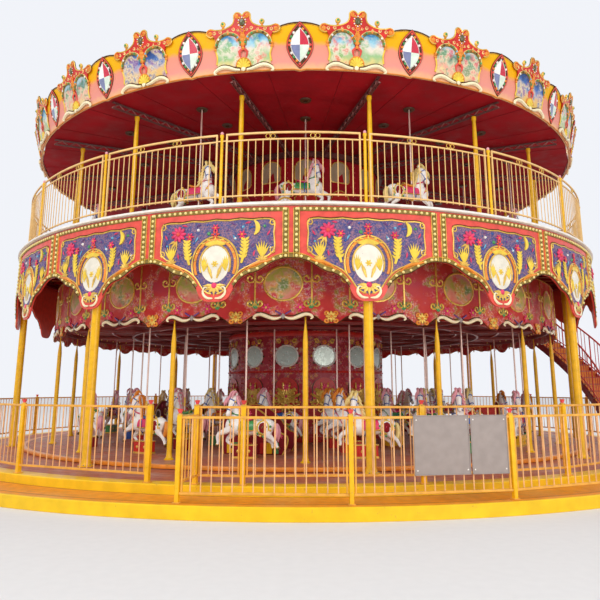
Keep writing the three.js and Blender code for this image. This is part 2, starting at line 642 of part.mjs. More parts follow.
function addTrusses() {
  const inner = CORE_RADIUS + SEAT_GAP;
  const outer = inner + TRUSS.hubWidth;
  const hub = revolve([
    [inner, soffitAt(outer) - TRUSS.depth], [outer, soffitAt(outer) - TRUSS.depth],
    [outer, soffitAt(outer) - SEAT_GAP], [inner, soffitAt(inner) - SEAT_GAP],
  ]);
  const trusses = anglesOf(COLUMN.count, UPPER_COLUMN_PHASE).map(truss);
  addPiece('canopy_trusses', join([solidOf(hub), ...trusses]), COLOURS.crimson, 0.5);
}

function addSoffit() {
  const inner = CORE_RADIUS + SEAT_GAP;
  const outline = [
    [inner, soffitAt(inner)], [SOFFIT.radius, SOFFIT.rim],
    [SOFFIT.radius, SOFFIT.rim + SOFFIT.thickness], [inner, soffitAt(inner) + SOFFIT.thickness],
  ];
  const hole = (row) => (degrees) => {
    const low = soffitAt(row.radius) - 80;
    return solidOf(turned(guideHole(row, low, low + 220, CEILING_HOLE_RADIUS), degrees));
  };
  const holes = [
    ...UPPER_OUTER_ANGLES.map(hole(UPPER_OUTER_ROW)), ...UPPER_INNER_ANGLES.map(hole(UPPER_INNER_ROW)),
  ];
  addPiece('canopy_soffit', cut(solidOf(revolve(outline)), holes), COLOURS.crimson, 0.6);
}

/** What is cut away over one bay of the crown valance, leaving a crown at each bay line. */
function valanceCut(degrees) {
  const radius = SOFFIT.radius + VALANCE.lean;
  const half = (Math.PI * radius) / VALANCE.bays;
  const { crownHalf, shoulderHalf, panel, shoulder } = VALANCE_LOBE;
  const high = VALANCE.top + 100;
  const outline = [
    [-half + crownHalf, high], [-half + shoulderHalf, shoulder], [0, panel],
    [half - shoulderHalf, shoulder], [half - crownHalf, high],
  ];
  return solidOf(turned(frontPlate(outline, SOFFIT.radius - 200, radius + 500), degrees));
}

function addValance() {
  const inner = SOFFIT.radius + SEAT_GAP;
  const outline = [
    [inner, VALANCE.bottom], [inner + VALANCE.thickness, VALANCE.bottom],
    [inner + VALANCE.thickness, VALANCE.seam], [inner + VALANCE.lean + VALANCE.thickness, VALANCE.top],
    [inner + VALANCE.lean, VALANCE.top], [inner, VALANCE.seam],
  ];
  const tools = anglesOf(VALANCE.bays, VALANCE.phase).map(valanceCut);
  addPiece('crown_valance', cut(solidOf(revolve(outline)), tools), COLOURS.gold, 0.45);
}

function addRoof() {
  const seat = (radius) => soffitAt(radius) + SOFFIT.thickness + SEAT_GAP;
  const innerRadius = ROOF.eaveRadius - ROOF.thickness;
  const outline = [
    [ROOF.eaveRadius, seat(ROOF.eaveRadius)], [ROOF.eaveRadius, ROOF.eave],
    [ROOF.topRadius, ROOF.top], [ROOF.topRadius - ROOF.seat, ROOF.top],
    [ROOF.topRadius - ROOF.seat, ROOF.top - ROOF.thickness], [innerRadius, ROOF.eave - ROOF.thickness],
    [innerRadius, seat(innerRadius)],
  ];
  addPiece('canopy_roof', solidOf(revolve(outline)), COLOURS.red, 0.6);
}

function addFinial() {
  const base = ROOF.top + SEAT_GAP;
  const outline = [
    [0, base], [FINIAL.base, base], [FINIAL.drum, base + 60], [FINIAL.drum * 0.9, base + 260],
    [FINIAL.drum * 0.45, base + 480], [FINIAL.ball * 0.4, base + 560], [FINIAL.ball, base + 700],
    [FINIAL.ball * 0.7, base + 880], [50, base + 960], [0, base + FINIAL.height],
  ];
  addPiece('roof_finial', solidOf(revolve(outline, FINIAL.sides)), COLOURS.gold, 0.35, 0.3);
}

addFloor();
addInnerFence();
addOuterFence();
addBoards();
addBalconyFrame();
addBalconyFloor();
addFascia();
addRailing();
addFlight();
addStairRails();
addTurntable();
addLowerCore();
addLowerFrame();
addLowerCeiling();
addLowerCrown();
addStandingHorses();
addChariots();
addUpperDeck();
addUpperCore();
addUpperFrame();
addTrusses();
addSoffit();
addValance();
addRoof();
addFinial();
addHorses('lower_horse', 1, OUTER_ROW, MOVING_ANGLES, TURNTABLE.top, LOWER_PEDESTAL, -HORSE.restLift,
  LOWER_CEILING.top + 260, FACING.lower);
addHorses('upper_horse', 1, UPPER_OUTER_ROW, UPPER_OUTER_ANGLES, UPPER_DECK.top, LOWER_PEDESTAL, -HORSE.restLift,
  soffitAt(UPPER_OUTER_ROW.radius) + 300, FACING.upper);
addHorses('upper_horse', UPPER_OUTER_ANGLES.length + 1, UPPER_INNER_ROW, UPPER_INNER_ANGLES, UPPER_DECK.top,
  UPPER_PEDESTAL, HORSE.restLift, soffitAt(UPPER_INNER_ROW.radius) + 300, FACING.upper);

export default group;
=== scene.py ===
"""A double-deck fairground carousel in its fenced station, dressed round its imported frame.

Metres, +Z up, the turning axis at the origin and the entrance side at -Y. Angles count from the
entrance side towards +X. A bay of ornament is modelled flat at the front, bent round the axis and
then stamped at every bay.
"""

import logging
import math
from collections.abc import Iterable, Mapping, Sequence
from dataclasses import dataclass, field
from enum import Enum

import bmesh
import bpy
from mathutils import Matrix, Vector


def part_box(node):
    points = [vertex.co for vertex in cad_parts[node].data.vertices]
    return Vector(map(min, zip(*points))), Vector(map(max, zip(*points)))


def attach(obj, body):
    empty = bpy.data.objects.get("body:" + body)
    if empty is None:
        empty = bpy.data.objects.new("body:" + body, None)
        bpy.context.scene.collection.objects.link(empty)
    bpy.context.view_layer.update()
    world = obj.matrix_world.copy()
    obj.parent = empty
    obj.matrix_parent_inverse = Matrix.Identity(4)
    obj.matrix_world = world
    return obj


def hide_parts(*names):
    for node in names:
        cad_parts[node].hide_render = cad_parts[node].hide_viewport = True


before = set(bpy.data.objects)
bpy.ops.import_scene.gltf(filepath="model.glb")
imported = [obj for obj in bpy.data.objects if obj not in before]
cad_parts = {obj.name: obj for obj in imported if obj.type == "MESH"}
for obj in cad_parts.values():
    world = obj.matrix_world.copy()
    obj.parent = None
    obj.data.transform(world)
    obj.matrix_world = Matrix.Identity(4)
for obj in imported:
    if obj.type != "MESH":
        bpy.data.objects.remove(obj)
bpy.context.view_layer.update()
LOG = logging.getLogger("carousel")

Colour = tuple[float, float, float]
Point2 = tuple[float, float]
Outline = list[Point2]
Line = Sequence[Sequence[float]]
Sizes = list[Point2] | Point2 | float
Shape = bmesh.types.BMesh
Socket = bpy.types.NodeSocket

# Measures of the frame that several pieces share: the rows of horses, the drum's radius, the decks'
# tops, the angle between two columns, and the two fences' radii.
OUTER_ROW, MIDDLE_ROW, INNER_ROW = 5.6, 4.55, 3.5
DRUM = 2.1
TURNTABLE_TOP, UPPER_TOP = 0.375, 4.9
SECTOR = 22.5
COLUMNS = 16
INNER_FENCE, OUTER_FENCE = 8.24, 8.95
ROUND = 144


# Finishes

class Graph:
    """The node tree of one material, with short calls to add and join nodes."""

    def __init__(self, name: str) -> None:
        """Starts a material with a principled shader.

        Args:
            name: The material's name.
        """
        self.material = bpy.data.materials.new(name)
        self.material.use_nodes = True
        self.tree = self.material.node_tree
        self.shader = self.tree.nodes["Principled BSDF"]
        self.place = self.add("ShaderNodeTexCoord").outputs["Object"]

    def add(self, kind: str, inputs: Mapping[str | int, object] | None = None,
            **settings: object) -> bpy.types.Node:
        """Adds a node.

        Args:
            kind: The node's type.
            inputs: A value or another node's output for each named input.
            settings: Values of the node's own properties.

        Returns:
            The node.
        """
        node = self.tree.nodes.new(kind)
        for key, value in settings.items():
            setattr(node, key, value)
        for key, value in (inputs or {}).items():
            if isinstance(value, Socket):
                self.tree.links.new(value, node.inputs[key])
            else:
                node.inputs[key].default_value = value
        return node

    def noise(self, scale: float, detail: float = 3.0, place: Socket | None = None) -> Socket:
        """Adds a noise pattern.

        Args:
            scale: Cycles a metre.
            detail: Octaves.
            place: Coordinates, or the object's own.

        Returns:
            The noise value.
        """
        node = self.add("ShaderNodeTexNoise",
            {"Vector": place or self.place, "Scale": scale, "Detail": detail})
        return node.outputs[0]

    def ramp(self, value: Socket, stops: Sequence[tuple[float, Colour]]) -> Socket:
        """Colours a value.

        Args:
            value: The value, from 0 to 1.
            stops: Places and colours.

        Returns:
            The colour.
        """
        node = self.add("ShaderNodeValToRGB", {0: value})
        elements = node.color_ramp.elements
        while len(elements) < len(stops):
            elements.new(0.5)
        for element, (place, colour) in zip(elements, stops):
            element.position = place
            element.color = (*colour, 1.0)
        return node.outputs[0]

    def mix(self, share: Socket | float, first: object, second: object) -> Socket:
        """Mixes two colours.

        Args:
            share: How much of the second.
            first: A colour or an output.
            second: A colour or an output.

        Returns:
            The mixed colour.
        """
        node = self.add("ShaderNodeMix", data_type="RGBA")
        for index, value in ((0, share), (6, first), (7, second)):
            if isinstance(value, Socket):
                self.tree.links.new(value, node.inputs[index])
            else:
                node.inputs[index].default_value = (*value, 1.0) if isinstance(value, tuple) else value
        return node.outputs[2]

    def span(self, value: Socket, low: float, high: float, to_low: float = 0.0,
            to_high: float = 1.0) -> Socket:
        """Maps a value from one range to another.

        Args:
            value: The value.
            low: The lowest value read.
            high: The highest value read.
            to_low: What the lowest gives.
            to_high: What the highest gives.

        Returns:
            The mapped value.
        """
        node = self.add("ShaderNodeMapRange",
            {"Value": value, "From Min": low, "From Max": high, "To Min": to_low, "To Max": to_high})
        return node.outputs[0]

    def join(self, output: Socket, socket: str) -> None:
        """Links an output to an input of the shader, by its name."""
        self.tree.links.new(output, self.shader.inputs[socket])

    def bump(self, height: Socket, strength: float, distance: float) -> None:
        """Presses a height pattern into the surface.

        Args:
            height: The pattern.
            strength: Its share.
            distance: Its depth in metres.
        """
        node = self.add("ShaderNodeBump", {"Height": height, "Strength": strength, "Distance": distance})
        self.join(node.outputs[0], "Normal")


@dataclass(frozen=True)
class Finish:
    """Paint over metal or glass fibre, mottled, with scuffs that show what is under it."""

    name: str
    colour: Colour
    rough: float = 0.35
    metal: float = 0.0
    coat: float = 0.1
    mottle: float = 0.18
    grain: float = 9.0
    scuff: float = 0.35
    under: Colour = (0.32, 0.25, 0.2)
    depth: float = 0.0012
    sheen: float = 0.25

    def paint(self, graph: Graph) -> Socket:
        """Gives the colour before dirt and scuffs.

        Args:
            graph: The material's nodes.

        Returns:
            The colour output.
        """
        dark = tuple(c * (1.0 - self.mottle) for c in self.colour)
        light = tuple(min(1.0, c * (1.0 + 0.6 * self.mottle)) for c in self.colour)
        return graph.ramp(graph.noise(self.grain), [(0.3, dark), (0.7, light)])

    def relief(self, graph: Graph) -> Socket:
        """Gives the height pattern of the surface."""
        return graph.noise(self.grain * 9.0, 5.0)

    def material(self) -> bpy.types.Material:
        """Makes the material once and then finds it again.

        Returns:
            The material.
        """
        found = bpy.data.materials.get(self.name)
        if found:
            return found
        graph = Graph(self.name)
        scuffs = graph.span(graph.noise(self.grain * 4.0, 6.0), 0.66, 0.72, 0.0, self.scuff)
        colour = graph.mix(scuffs, self.paint(graph), self.under)
        graph.join(colour, "Base Color")
        graph.join(
            graph.span(graph.noise(self.grain * 2.0), 0.3, 0.7, self.rough * 0.8, min(1.0, self.rough * 1.3)),
            "Roughness")
        graph.bump(self.relief(graph), 0.5, self.depth)
        graph.shader.inputs["Metallic"].default_value = self.metal
        graph.shader.inputs["Specular IOR Level"].default_value = self.sheen
        graph.shader.inputs["Coat Weight"].default_value = self.coat
        graph.shader.inputs["Coat Roughness"].default_value = 0.15
        return graph.material


@dataclass(frozen=True)
class Fade(Finish):
    """Paint that fades through several colours with height."""

    low: float = 0.0
    high: float = 1.0
    stops: tuple[tuple[float, Colour], ...] = ()
    blur: float = 0.06

    def paint(self, graph: Graph) -> Socket:
        """Gives the faded colour, a little uneven along its edges.

        Args:
            graph: The material's nodes.

        Returns:
            The colour output.
        """
        height = graph.add("ShaderNodeSeparateXYZ", {0: graph.place}).outputs["Z"]
        even = graph.span(height, self.low, self.high)
        waver = graph.span(graph.noise(self.grain), 0.0, 1.0, -self.blur, self.blur)
        total = graph.add("ShaderNodeMath", {0: even, 1: waver}, operation="ADD").outputs[0]
        return graph.ramp(total, list(self.stops))


@dataclass(frozen=True)
class Painting(Fade):
    """A fading picture with loose patches of other colours, as it looks from afar."""

    patches: tuple[Colour, ...] = ()
    cover: float = 0.8

    def paint(self, graph: Graph) -> Socket:
        """Gives the fade under its patches.

        Args:
            graph: The material's nodes.

        Returns:
            The colour output.
        """
        last = max(1, len(self.patches) - 1)
        hues = graph.ramp(graph.noise(self.grain * 1.3, 2.0),
            [(0.38 + 0.24 * k / last, c) for k, c in enumerate(self.patches)])
        touches = graph.mix(graph.span(graph.noise(self.grain * 7.0, 2.0), 0.5, 0.62, 0.0, 0.5), hues,
            (0.86, 0.8, 0.66))
        return graph.mix(graph.span(graph.noise(self.grain * 0.7), 0.46, 0.56, 0.0, self.cover),
            super().paint(graph), touches)


@dataclass(frozen=True)
class Mosaic(Finish):
    """A field of small raised cells in two mingled colours, with painted shade in the hollows between the
    cells.
    """

    second: Colour = (0.5, 0.5, 0.5)
    cells: float = 45.0

    def paint(self, graph: Graph) -> Socket:
        """Gives cell colours between the two paints, darkened towards each cell's edge as painted shade in
        the hollows.

        Args:
            graph: The material's nodes.

        Returns:
            The colour output.
        """
        cell = graph.add("ShaderNodeTexVoronoi", {"Vector": graph.place, "Scale": self.cells})
        mono = graph.add("ShaderNodeRGBToBW", {0: cell.outputs["Color"]}).outputs[0]
        patch = graph.add("ShaderNodeMath", {0: mono, 1: graph.noise(self.grain)},
            operation="MULTIPLY").outputs[0]
        base = graph.ramp(patch, [(0.12, self.colour), (0.36, self.second)])
        # Painted shade: each raised cell darkens towards its edge, in the hollows between the cells.
        edge = graph.span(cell.outputs["Distance"], 0.2, 0.7, 0.0, 0.45)
        return graph.mix(edge, base, tuple(c * 0.35 for c in self.colour))

    def relief(self, graph: Graph) -> Socket:
        """Gives the raised cells."""
        cell = graph.add("ShaderNodeTexVoronoi", {"Vector": graph.place, "Scale": self.cells})
        return graph.span(cell.outputs["Distance"], 0.0, 0.7, 1.0, 0.0)


@dataclass(frozen=True)
class Planks(Finish):
    """Deck paint on plates, with joints in rings and trodden patches."""

    joint: float = 1.4
    worn: Colour = (0.5, 0.38, 0.3)

    def paint(self, graph: Graph) -> Socket:
        """Gives the deck colour with dark joints and dusty patches.

        Args:
            graph: The material's nodes.

        Returns:
            The colour output.
        """
        rings = graph.add("ShaderNodeTexWave",
            {"Vector": graph.place, "Scale": self.joint, "Distortion": 0.0}, wave_type="RINGS",
            rings_direction="Z")
        trodden = graph.span(graph.noise(1.3, 4.0), 0.45, 0.7, 0.0, 0.5)
        base = graph.mix(trodden, super().paint(graph), self.worn)
        joints = graph.span(rings.outputs["Fac"], 0.0, 0.03, 0.7, 0.0)
        return graph.mix(joints, base, tuple(c * 0.3 for c in self.colour))


@dataclass(frozen=True)
class Brushed(Finish):
    """Sheet metal brushed along one direction."""

    def relief(self, graph: Graph) -> Socket:
        """Gives fine level scratches."""
        long = graph.add("ShaderNodeMapping", {"Vector": graph.place, "Scale": (3.0, 3.0, 240.0)})
        return graph.noise(4.0, 4.0, long.outputs[0])


WHITE = Finish("figure_white", (0.92, 0.89, 0.82), rough=0.28, coat=0.3, mottle=0.06, scuff=0.3)
CREAM = Finish("scroll_cream", (0.93, 0.8, 0.5), rough=0.3, coat=0.4, mottle=0.12)
IVORY = Finish("kerb_ivory", (0.88, 0.82, 0.74), rough=0.4, mottle=0.14)
YELLOW = Finish("pillar_yellow", (0.9, 0.49, 0.006), rough=0.32, coat=0.2, mottle=0.14)
PALE_YELLOW = Finish("leaf_yellow", (0.86, 0.6, 0.06), rough=0.35, mottle=0.16)
RAIL = Finish("rail_peach", (0.86, 0.54, 0.2), rough=0.35, mottle=0.14)
AMBER = Finish("fence_amber", (0.82, 0.4, 0.06), rough=0.38, mottle=0.2)
PEACH = Finish("bar_peach", (0.84, 0.46, 0.2), rough=0.38, mottle=0.18)
GOLD = Finish("carved_gold", (0.8, 0.5, 0.09), rough=0.3, metal=0.35, coat=0.3, mottle=0.25,
    under=(0.3, 0.12, 0.03))
BULB = Finish("bulb_glass", (0.9, 0.74, 0.26), rough=0.12, coat=0.9, mottle=0.1, scuff=0.0)
OLIVE = Finish("bulb_seat_olive", (0.26, 0.17, 0.03), rough=0.5, mottle=0.3)
CRIMSON = Finish("soffit_crimson", (0.42, 0.004, 0.012), rough=0.7, coat=0.0, mottle=0.25, grain=1.6,
    scuff=0.15)
MAROON = Finish("lower_maroon", (0.27, 0.006, 0.012), rough=0.65, coat=0.0, mottle=0.3, grain=3.0, scuff=0.15)
CARMINE = Finish("quarter_carmine", (0.62, 0.02, 0.05), rough=0.3, coat=0.5, mottle=0.12)
GARNET = Finish("bulb_garnet", (0.72, 0.1, 0.1), rough=0.15, coat=0.8, mottle=0.15, scuff=0.0)
PIPE = Finish("pipe_rose", (0.3, 0.055, 0.05), rough=0.4, mottle=0.2)
TRUSS = Finish("truss_umber", (0.16, 0.05, 0.045), rough=0.5, coat=0.1, mottle=0.3)
SCARLET = Finish("crown_scarlet", (0.62, 0.028, 0.018), rough=0.32, mottle=0.2)
CORAL = Finish("frame_coral", (0.76, 0.085, 0.06), rough=0.35, mottle=0.16)
ORANGE = Finish("carved_orange", (0.82, 0.27, 0.03), rough=0.33, mottle=0.2)
ROSE = Finish("petal_rose", (0.76, 0.05, 0.14), rough=0.35, mottle=0.2)
PINK = Finish("mane_pink", (0.82, 0.36, 0.4), rough=0.4, mottle=0.2)
STRAW = Finish("mane_straw", (0.86, 0.66, 0.24), rough=0.4, mottle=0.2)
BLUE = Finish("harness_blue", (0.05, 0.12, 0.42), rough=0.3, mottle=0.18)
SKY = Finish("gem_sky", (0.12, 0.42, 0.62), rough=0.15, coat=0.9, mottle=0.15)
GREEN = Finish("leaf_green", (0.06, 0.3, 0.08), rough=0.3, coat=0.5, mottle=0.2)
PLUM = Finish("gem_plum", (0.14, 0.04, 0.2), rough=0.15, coat=0.9, mottle=0.15)
DARK = Finish("outline_umber", (0.09, 0.035, 0.01), rough=0.45, mottle=0.3)
ROD = Finish("pole_pale", (0.85, 0.6, 0.5), rough=0.22, metal=0.25, coat=0.4, mottle=0.1)
LATTICE = Finish("truss_grey_red", (0.36, 0.15, 0.13), rough=0.5, coat=0.1, mottle=0.3)
STEEL = Brushed("board_steel", (0.34, 0.28, 0.25), rough=0.5, metal=0.1, coat=0.0, mottle=0.1, depth=0.0004)
GLASS = Finish("mirror_glass", (0.42, 0.46, 0.4), rough=0.3, metal=0.75, mottle=0.05, scuff=0.0,
    depth=0.00002)
BEIGE = Finish("panel_beige", (0.5, 0.38, 0.24), rough=0.35, mottle=0.18, grain=4.0)
BLUE_GREY = Finish("quarter_blue_grey", (0.2, 0.22, 0.38), rough=0.3, coat=0.5, mottle=0.15)
OPAL = Finish("oval_opal", (0.82, 0.76, 0.62), rough=0.25, coat=0.4, mottle=0.14, grain=5.0)
MINT = Finish("quarter_mint", (0.72, 0.82, 0.66), rough=0.3, coat=0.5, mottle=0.15)
PLUM_GREEN = Finish("gem_dark_olive", (0.1, 0.09, 0.02), rough=0.12, coat=0.9, mottle=0.3, scuff=0.0)
DECK = Planks("deck_orange_brown", (0.52, 0.14, 0.07), rough=0.55, mottle=0.2)
LEDGE = Finish("ledge_yellow", (0.9, 0.54, 0.01), rough=0.4, coat=0.1, mottle=0.14, grain=4.0,
    under=(0.4, 0.2, 0.05))
TREAD = Planks("tread_orange", (0.84, 0.3, 0.02), rough=0.5, joint=0.6, worn=(0.7, 0.36, 0.1))
# The blue field, with painted shade in the hollows between its raised cells
FIELD = Mosaic("fascia_field", (0.06, 0.075, 0.25), rough=0.4, coat=0.1, grain=5.0, second=(0.34, 0.17, 0.24),
    depth=0.008)
SUNRISE = Fade("valance_fade", (0.9, 0.5, 0.3), rough=0.45, coat=0.0, low=7.1, high=8.0, sheen=0.15,
    stops=((0.02, (0.84, 0.52, 0.22)), (0.2, (0.8, 0.3, 0.24)), (0.5, (0.82, 0.3, 0.2)),
    (0.6, (0.88, 0.42, 0.004)), (0.95, (0.88, 0.46, 0.002))))
# The heights between which the crown's pictures fade
PICTURE_LOW, PICTURE_HIGH = 7.24, 7.82
SKY_PICTURE = Painting("picture_sky", (0.5, 0.6, 0.5), grain=6.0, low=PICTURE_LOW, high=PICTURE_HIGH,
    blur=0.3, stops=((0.05, (0.78, 0.62, 0.22)), (0.3, (0.3, 0.5, 0.22)), (0.5, (0.8, 0.7, 0.56)),
    (0.66, (0.3, 0.58, 0.7)), (0.9, (0.02, 0.2, 0.42))),
    patches=((0.78, 0.12, 0.1), (0.8, 0.68, 0.5), (0.2, 0.42, 0.12)))
DUSK_PICTURE = Painting("picture_dusk", (0.5, 0.4, 0.5), grain=6.0, low=PICTURE_LOW, high=PICTURE_HIGH,
    blur=0.3, stops=((0.05, (0.8, 0.5, 0.1)), (0.3, (0.76, 0.46, 0.2)), (0.45, (0.5, 0.44, 0.5)),
    (0.65, (0.05, 0.14, 0.42)), (0.9, (0.01, 0.03, 0.12))),
    patches=((0.24, 0.1, 0.3), (0.78, 0.6, 0.3), (0.06, 0.16, 0.4)))
ROSE_PICTURE = Painting("picture_rose", (0.6, 0.4, 0.4), grain=7.0, low=PICTURE_LOW, high=PICTURE_HIGH,
    blur=0.4, stops=((0.05, (0.8, 0.66, 0.3)), (0.3, (0.8, 0.36, 0.26)), (0.5, (0.6, 0.6, 0.4)),
    (0.7, (0.08, 0.2, 0.14)), (0.9, (0.4, 0.56, 0.6))),
    patches=((0.76, 0.08, 0.12), (0.84, 0.6, 0.36), (0.12, 0.3, 0.14)))
PICTURES = (SKY_PICTURE, ROSE_PICTURE, DUSK_PICTURE)
PAINTED = Painting("crown_picture", (0.6, 0.3, 0.2), grain=4.0, low=2.9, high=3.9, blur=0.5,
    stops=((0.1, (0.7, 0.1, 0.06)), (0.35, (0.74, 0.3, 0.2)), (0.55, (0.4, 0.42, 0.06)),
    (0.8, (0.66, 0.24, 0.24))), patches=((0.7, 0.04, 0.06), (0.8, 0.5, 0.12), (0.12, 0.3, 0.08)))
HORIZON = Painting("crown_wash", (0.6, 0.2, 0.2), rough=0.45, coat=0.0, grain=5.0, low=2.7, high=3.9,
    blur=0.3, cover=0.7, stops=((0.05, (0.5, 0.015, 0.015)), (0.35, (0.56, 0.04, 0.03)),
    (0.6, (0.5, 0.05, 0.07)), (0.9, (0.56, 0.05, 0.03))),
    patches=((0.5, 0.02, 0.08), (0.7, 0.2, 0.03), (0.62, 0.1, 0.16), (0.3, 0.3, 0.03)))
# The lower drum's paint: gold and dark red patches over a red that darkens towards the top, painted shade
# under the lower ceiling
SHADED_FILIGREE = Painting("drum_filigree_painted_shade", (0.5, 0.02, 0.03), rough=0.4, coat=0.1, grain=9.0, low=0.3, high=3.0,
    blur=0.3, cover=0.75,
    stops=((0.1, (0.5, 0.03, 0.02)), (0.5, (0.46, 0.012, 0.03)), (0.9, (0.34, 0.008, 0.02))),
    patches=((0.62, 0.02, 0.08), (0.3, 0.01, 0.05), (0.7, 0.26, 0.03)))


# Shapes

def block(size: Sequence[float], centre: Sequence[float], edge: float = 0.0) -> Shape:
    """Makes a box with softened edges.

    Args:
        size: Its three sides.
        centre: Its middle.
        edge: The width of the bevel.

    Returns:
        The shape.
    """
    part = bmesh.new()
    bmesh.ops.create_cube(part, size=1.0, matrix=Matrix.Translation(centre) @ Matrix.Diagonal((*size, 1.0)))
    if edge:
        bmesh.ops.bevel(part, geom=part.edges[:], offset=edge, segments=1, profile=0.5, affect="EDGES",
            material=-1)
    return part


def rod(start: Sequence[float], end: Sequence[float], radius: float, sides: int = 8,
        end_radius: float | None = None) -> Shape:
    """Makes a round bar between two points.

    Args:
        start: One end.
        end: The other end.
        radius: Its radius at the start.
        sides: Its sides.
        end_radius: Its radius at the end, where it tapers.

    Returns:
        The shape.
    """
    part = bmesh.new()
    along = Vector(end) - Vector(start)
    turn = along.to_track_quat("Z", "Y").to_matrix().to_4x4()
    place = Matrix.Translation((Vector(start) + Vector(end)) / 2) @ turn
    tip = radius if end_radius is None else end_radius
    bmesh.ops.create_cone(part, cap_ends=True, segments=sides, radius1=radius, radius2=tip,
        depth=along.length, matrix=place)
    return part


def ball(centre: Sequence[float], radii: Sequence[float], rings: int = 5) -> Shape:
    """Makes a ball or a flattened ball.

    Args:
        centre: Its middle.
        radii: Its three half sizes.
        rings: How finely it is divided.

    Returns:
        The shape.
    """
    part = bmesh.new()
    place = Matrix.Translation(centre) @ Matrix.Diagonal((*radii, 1.0))
    bmesh.ops.create_uvsphere(part, u_segments=rings + 3, v_segments=rings, radius=1.0, matrix=place)
    return part


def pip(centre: Sequence[float], radius: float, flat: float = 0.6) -> Shape:
    """Makes a small bead of twenty faces, flattened along the radius."""
    part = bmesh.new()
    place = Matrix.Translation(centre) @ Matrix.Diagonal((radius, radius * flat, radius, 1.0))
    bmesh.ops.create_icosphere(part, subdivisions=1, radius=1.0, matrix=place)
    return part


def turning(outline: Outline, sides: int, closed: bool = False) -> Shape:
    """Spins an outline about the Z axis.

    Args:
        outline: Points of radius and height.
        sides: Steps of the turn.
        closed: True for a ring whose outline ends where it starts.

    Returns:
        The shape.
    """
    part = bmesh.new()
    points = [part.verts.new((radius, 0.0, height)) for radius, height in outline]
    pairs = list(zip(points, points[1:])) + ([(points[-1], points[0])] if closed else [])
    edges = [part.edges.new(pair) for pair in pairs]
    bmesh.ops.spin(part, geom=points + edges, cent=(0, 0, 0), axis=(0, 0, 1), dvec=(0, 0, 0), angle=math.tau,
        steps=sides, use_merge=True)
    bmesh.ops.remove_doubles(part, verts=part.verts[:], dist=1e-5)
    bmesh.ops.recalc_face_normals(part, faces=part.faces[:])
    return part


def band(inner: float, outer: float, low: float, high: float, sides: int = ROUND) -> Shape:
    """Makes a ring with a square section, or a disc where its inner radius is zero."""
    return turning([(inner, low), (outer, low), (outer, high), (inner, high)], sides, inner > 0)


def spindle(outline: Outline, x: float, radius: float, sides: int = 12) -> Shape:
    """Turns an outline about an upright line at the front.

    Args:
        outline: Points of radius and height, from the foot up.
        x: How far across.
        radius: How far from the axis.
        sides: Steps of the turn.

    Returns:
        The shape.
    """
    part = turning(outline, sides)
    bmesh.ops.translate(part, verts=part.verts[:], vec=(x, -radius, 0.0))
    return part


def plate(outline: Outline, back: float, front: float, edge: float = 0.0) -> Shape:
    """Extrudes a flat outline at the front from one radius to another.

    Args:
        outline: Points across and up.
        back: The radius of its back.
        front: The radius of its face.
        edge: The bevel round its face.

    Returns:
        The shape.
    """
    part = bmesh.new()
    face = part.faces.new([part.verts.new((x, -back, z)) for x, z in outline])
    pushed = bmesh.ops.extrude_face_region(part, geom=[face], use_keep_orig=True)["geom"]
    moved = [item for item in pushed if isinstance(item, bmesh.types.BMVert)]
    bmesh.ops.translate(part, verts=moved, vec=(0.0, back - front, 0.0))
    bmesh.ops.recalc_face_normals(part, faces=part.faces[:])
    if edge:
        rim = [e for e in part.edges if all(abs(v.co.y + front) < 1e-6 for v in e.verts)]
        bmesh.ops.bevel(part, geom=rim, offset=edge, segments=1, profile=0.5, affect="EDGES", material=-1)
    return part


def sliced(part: Shape, step: float = 0.17) -> Shape:
    """Cuts a wide flat shape into upright strips, so that it can follow a curve.

    Args:
        part: The shape.
        step: The strips' width.

    Returns:
        The same shape.
    """
    reach = max(abs(vert.co.x) for vert in part.verts)
    count = int(reach / step)
    for k in range(-count, count + 1):
        bmesh.ops.bisect_plane(part, geom=part.verts[:] + part.edges[:] + part.faces[:],
            plane_co=(k * step, 0, 0), plane_no=(1, 0, 0))
    return part


def spline(points: Line, steps: int) -> list[tuple[float, ...]]:
    """Rounds a line of points or sizes.

    Args:
        points: The points it passes through, of any number of values.
        steps: Points for each stretch.

    Returns:
        The finer line.
    """
    line = []
    for k in range(len(points) - 1):
        four = [points[max(0, min(len(points) - 1, k + j))] for j in (-1, 0, 1, 2)]
        for step in range(steps):
            t = step / steps
            line.append(tuple(0.5 * (
                2 * b + (c - a) * t + (2 * a - 5 * b + 4 * c - d) * t * t + (3 * b - a - 3 * c + d) * t ** 3)
                for a, b, c, d in zip(*four)))
    return line + [tuple(points[-1])]


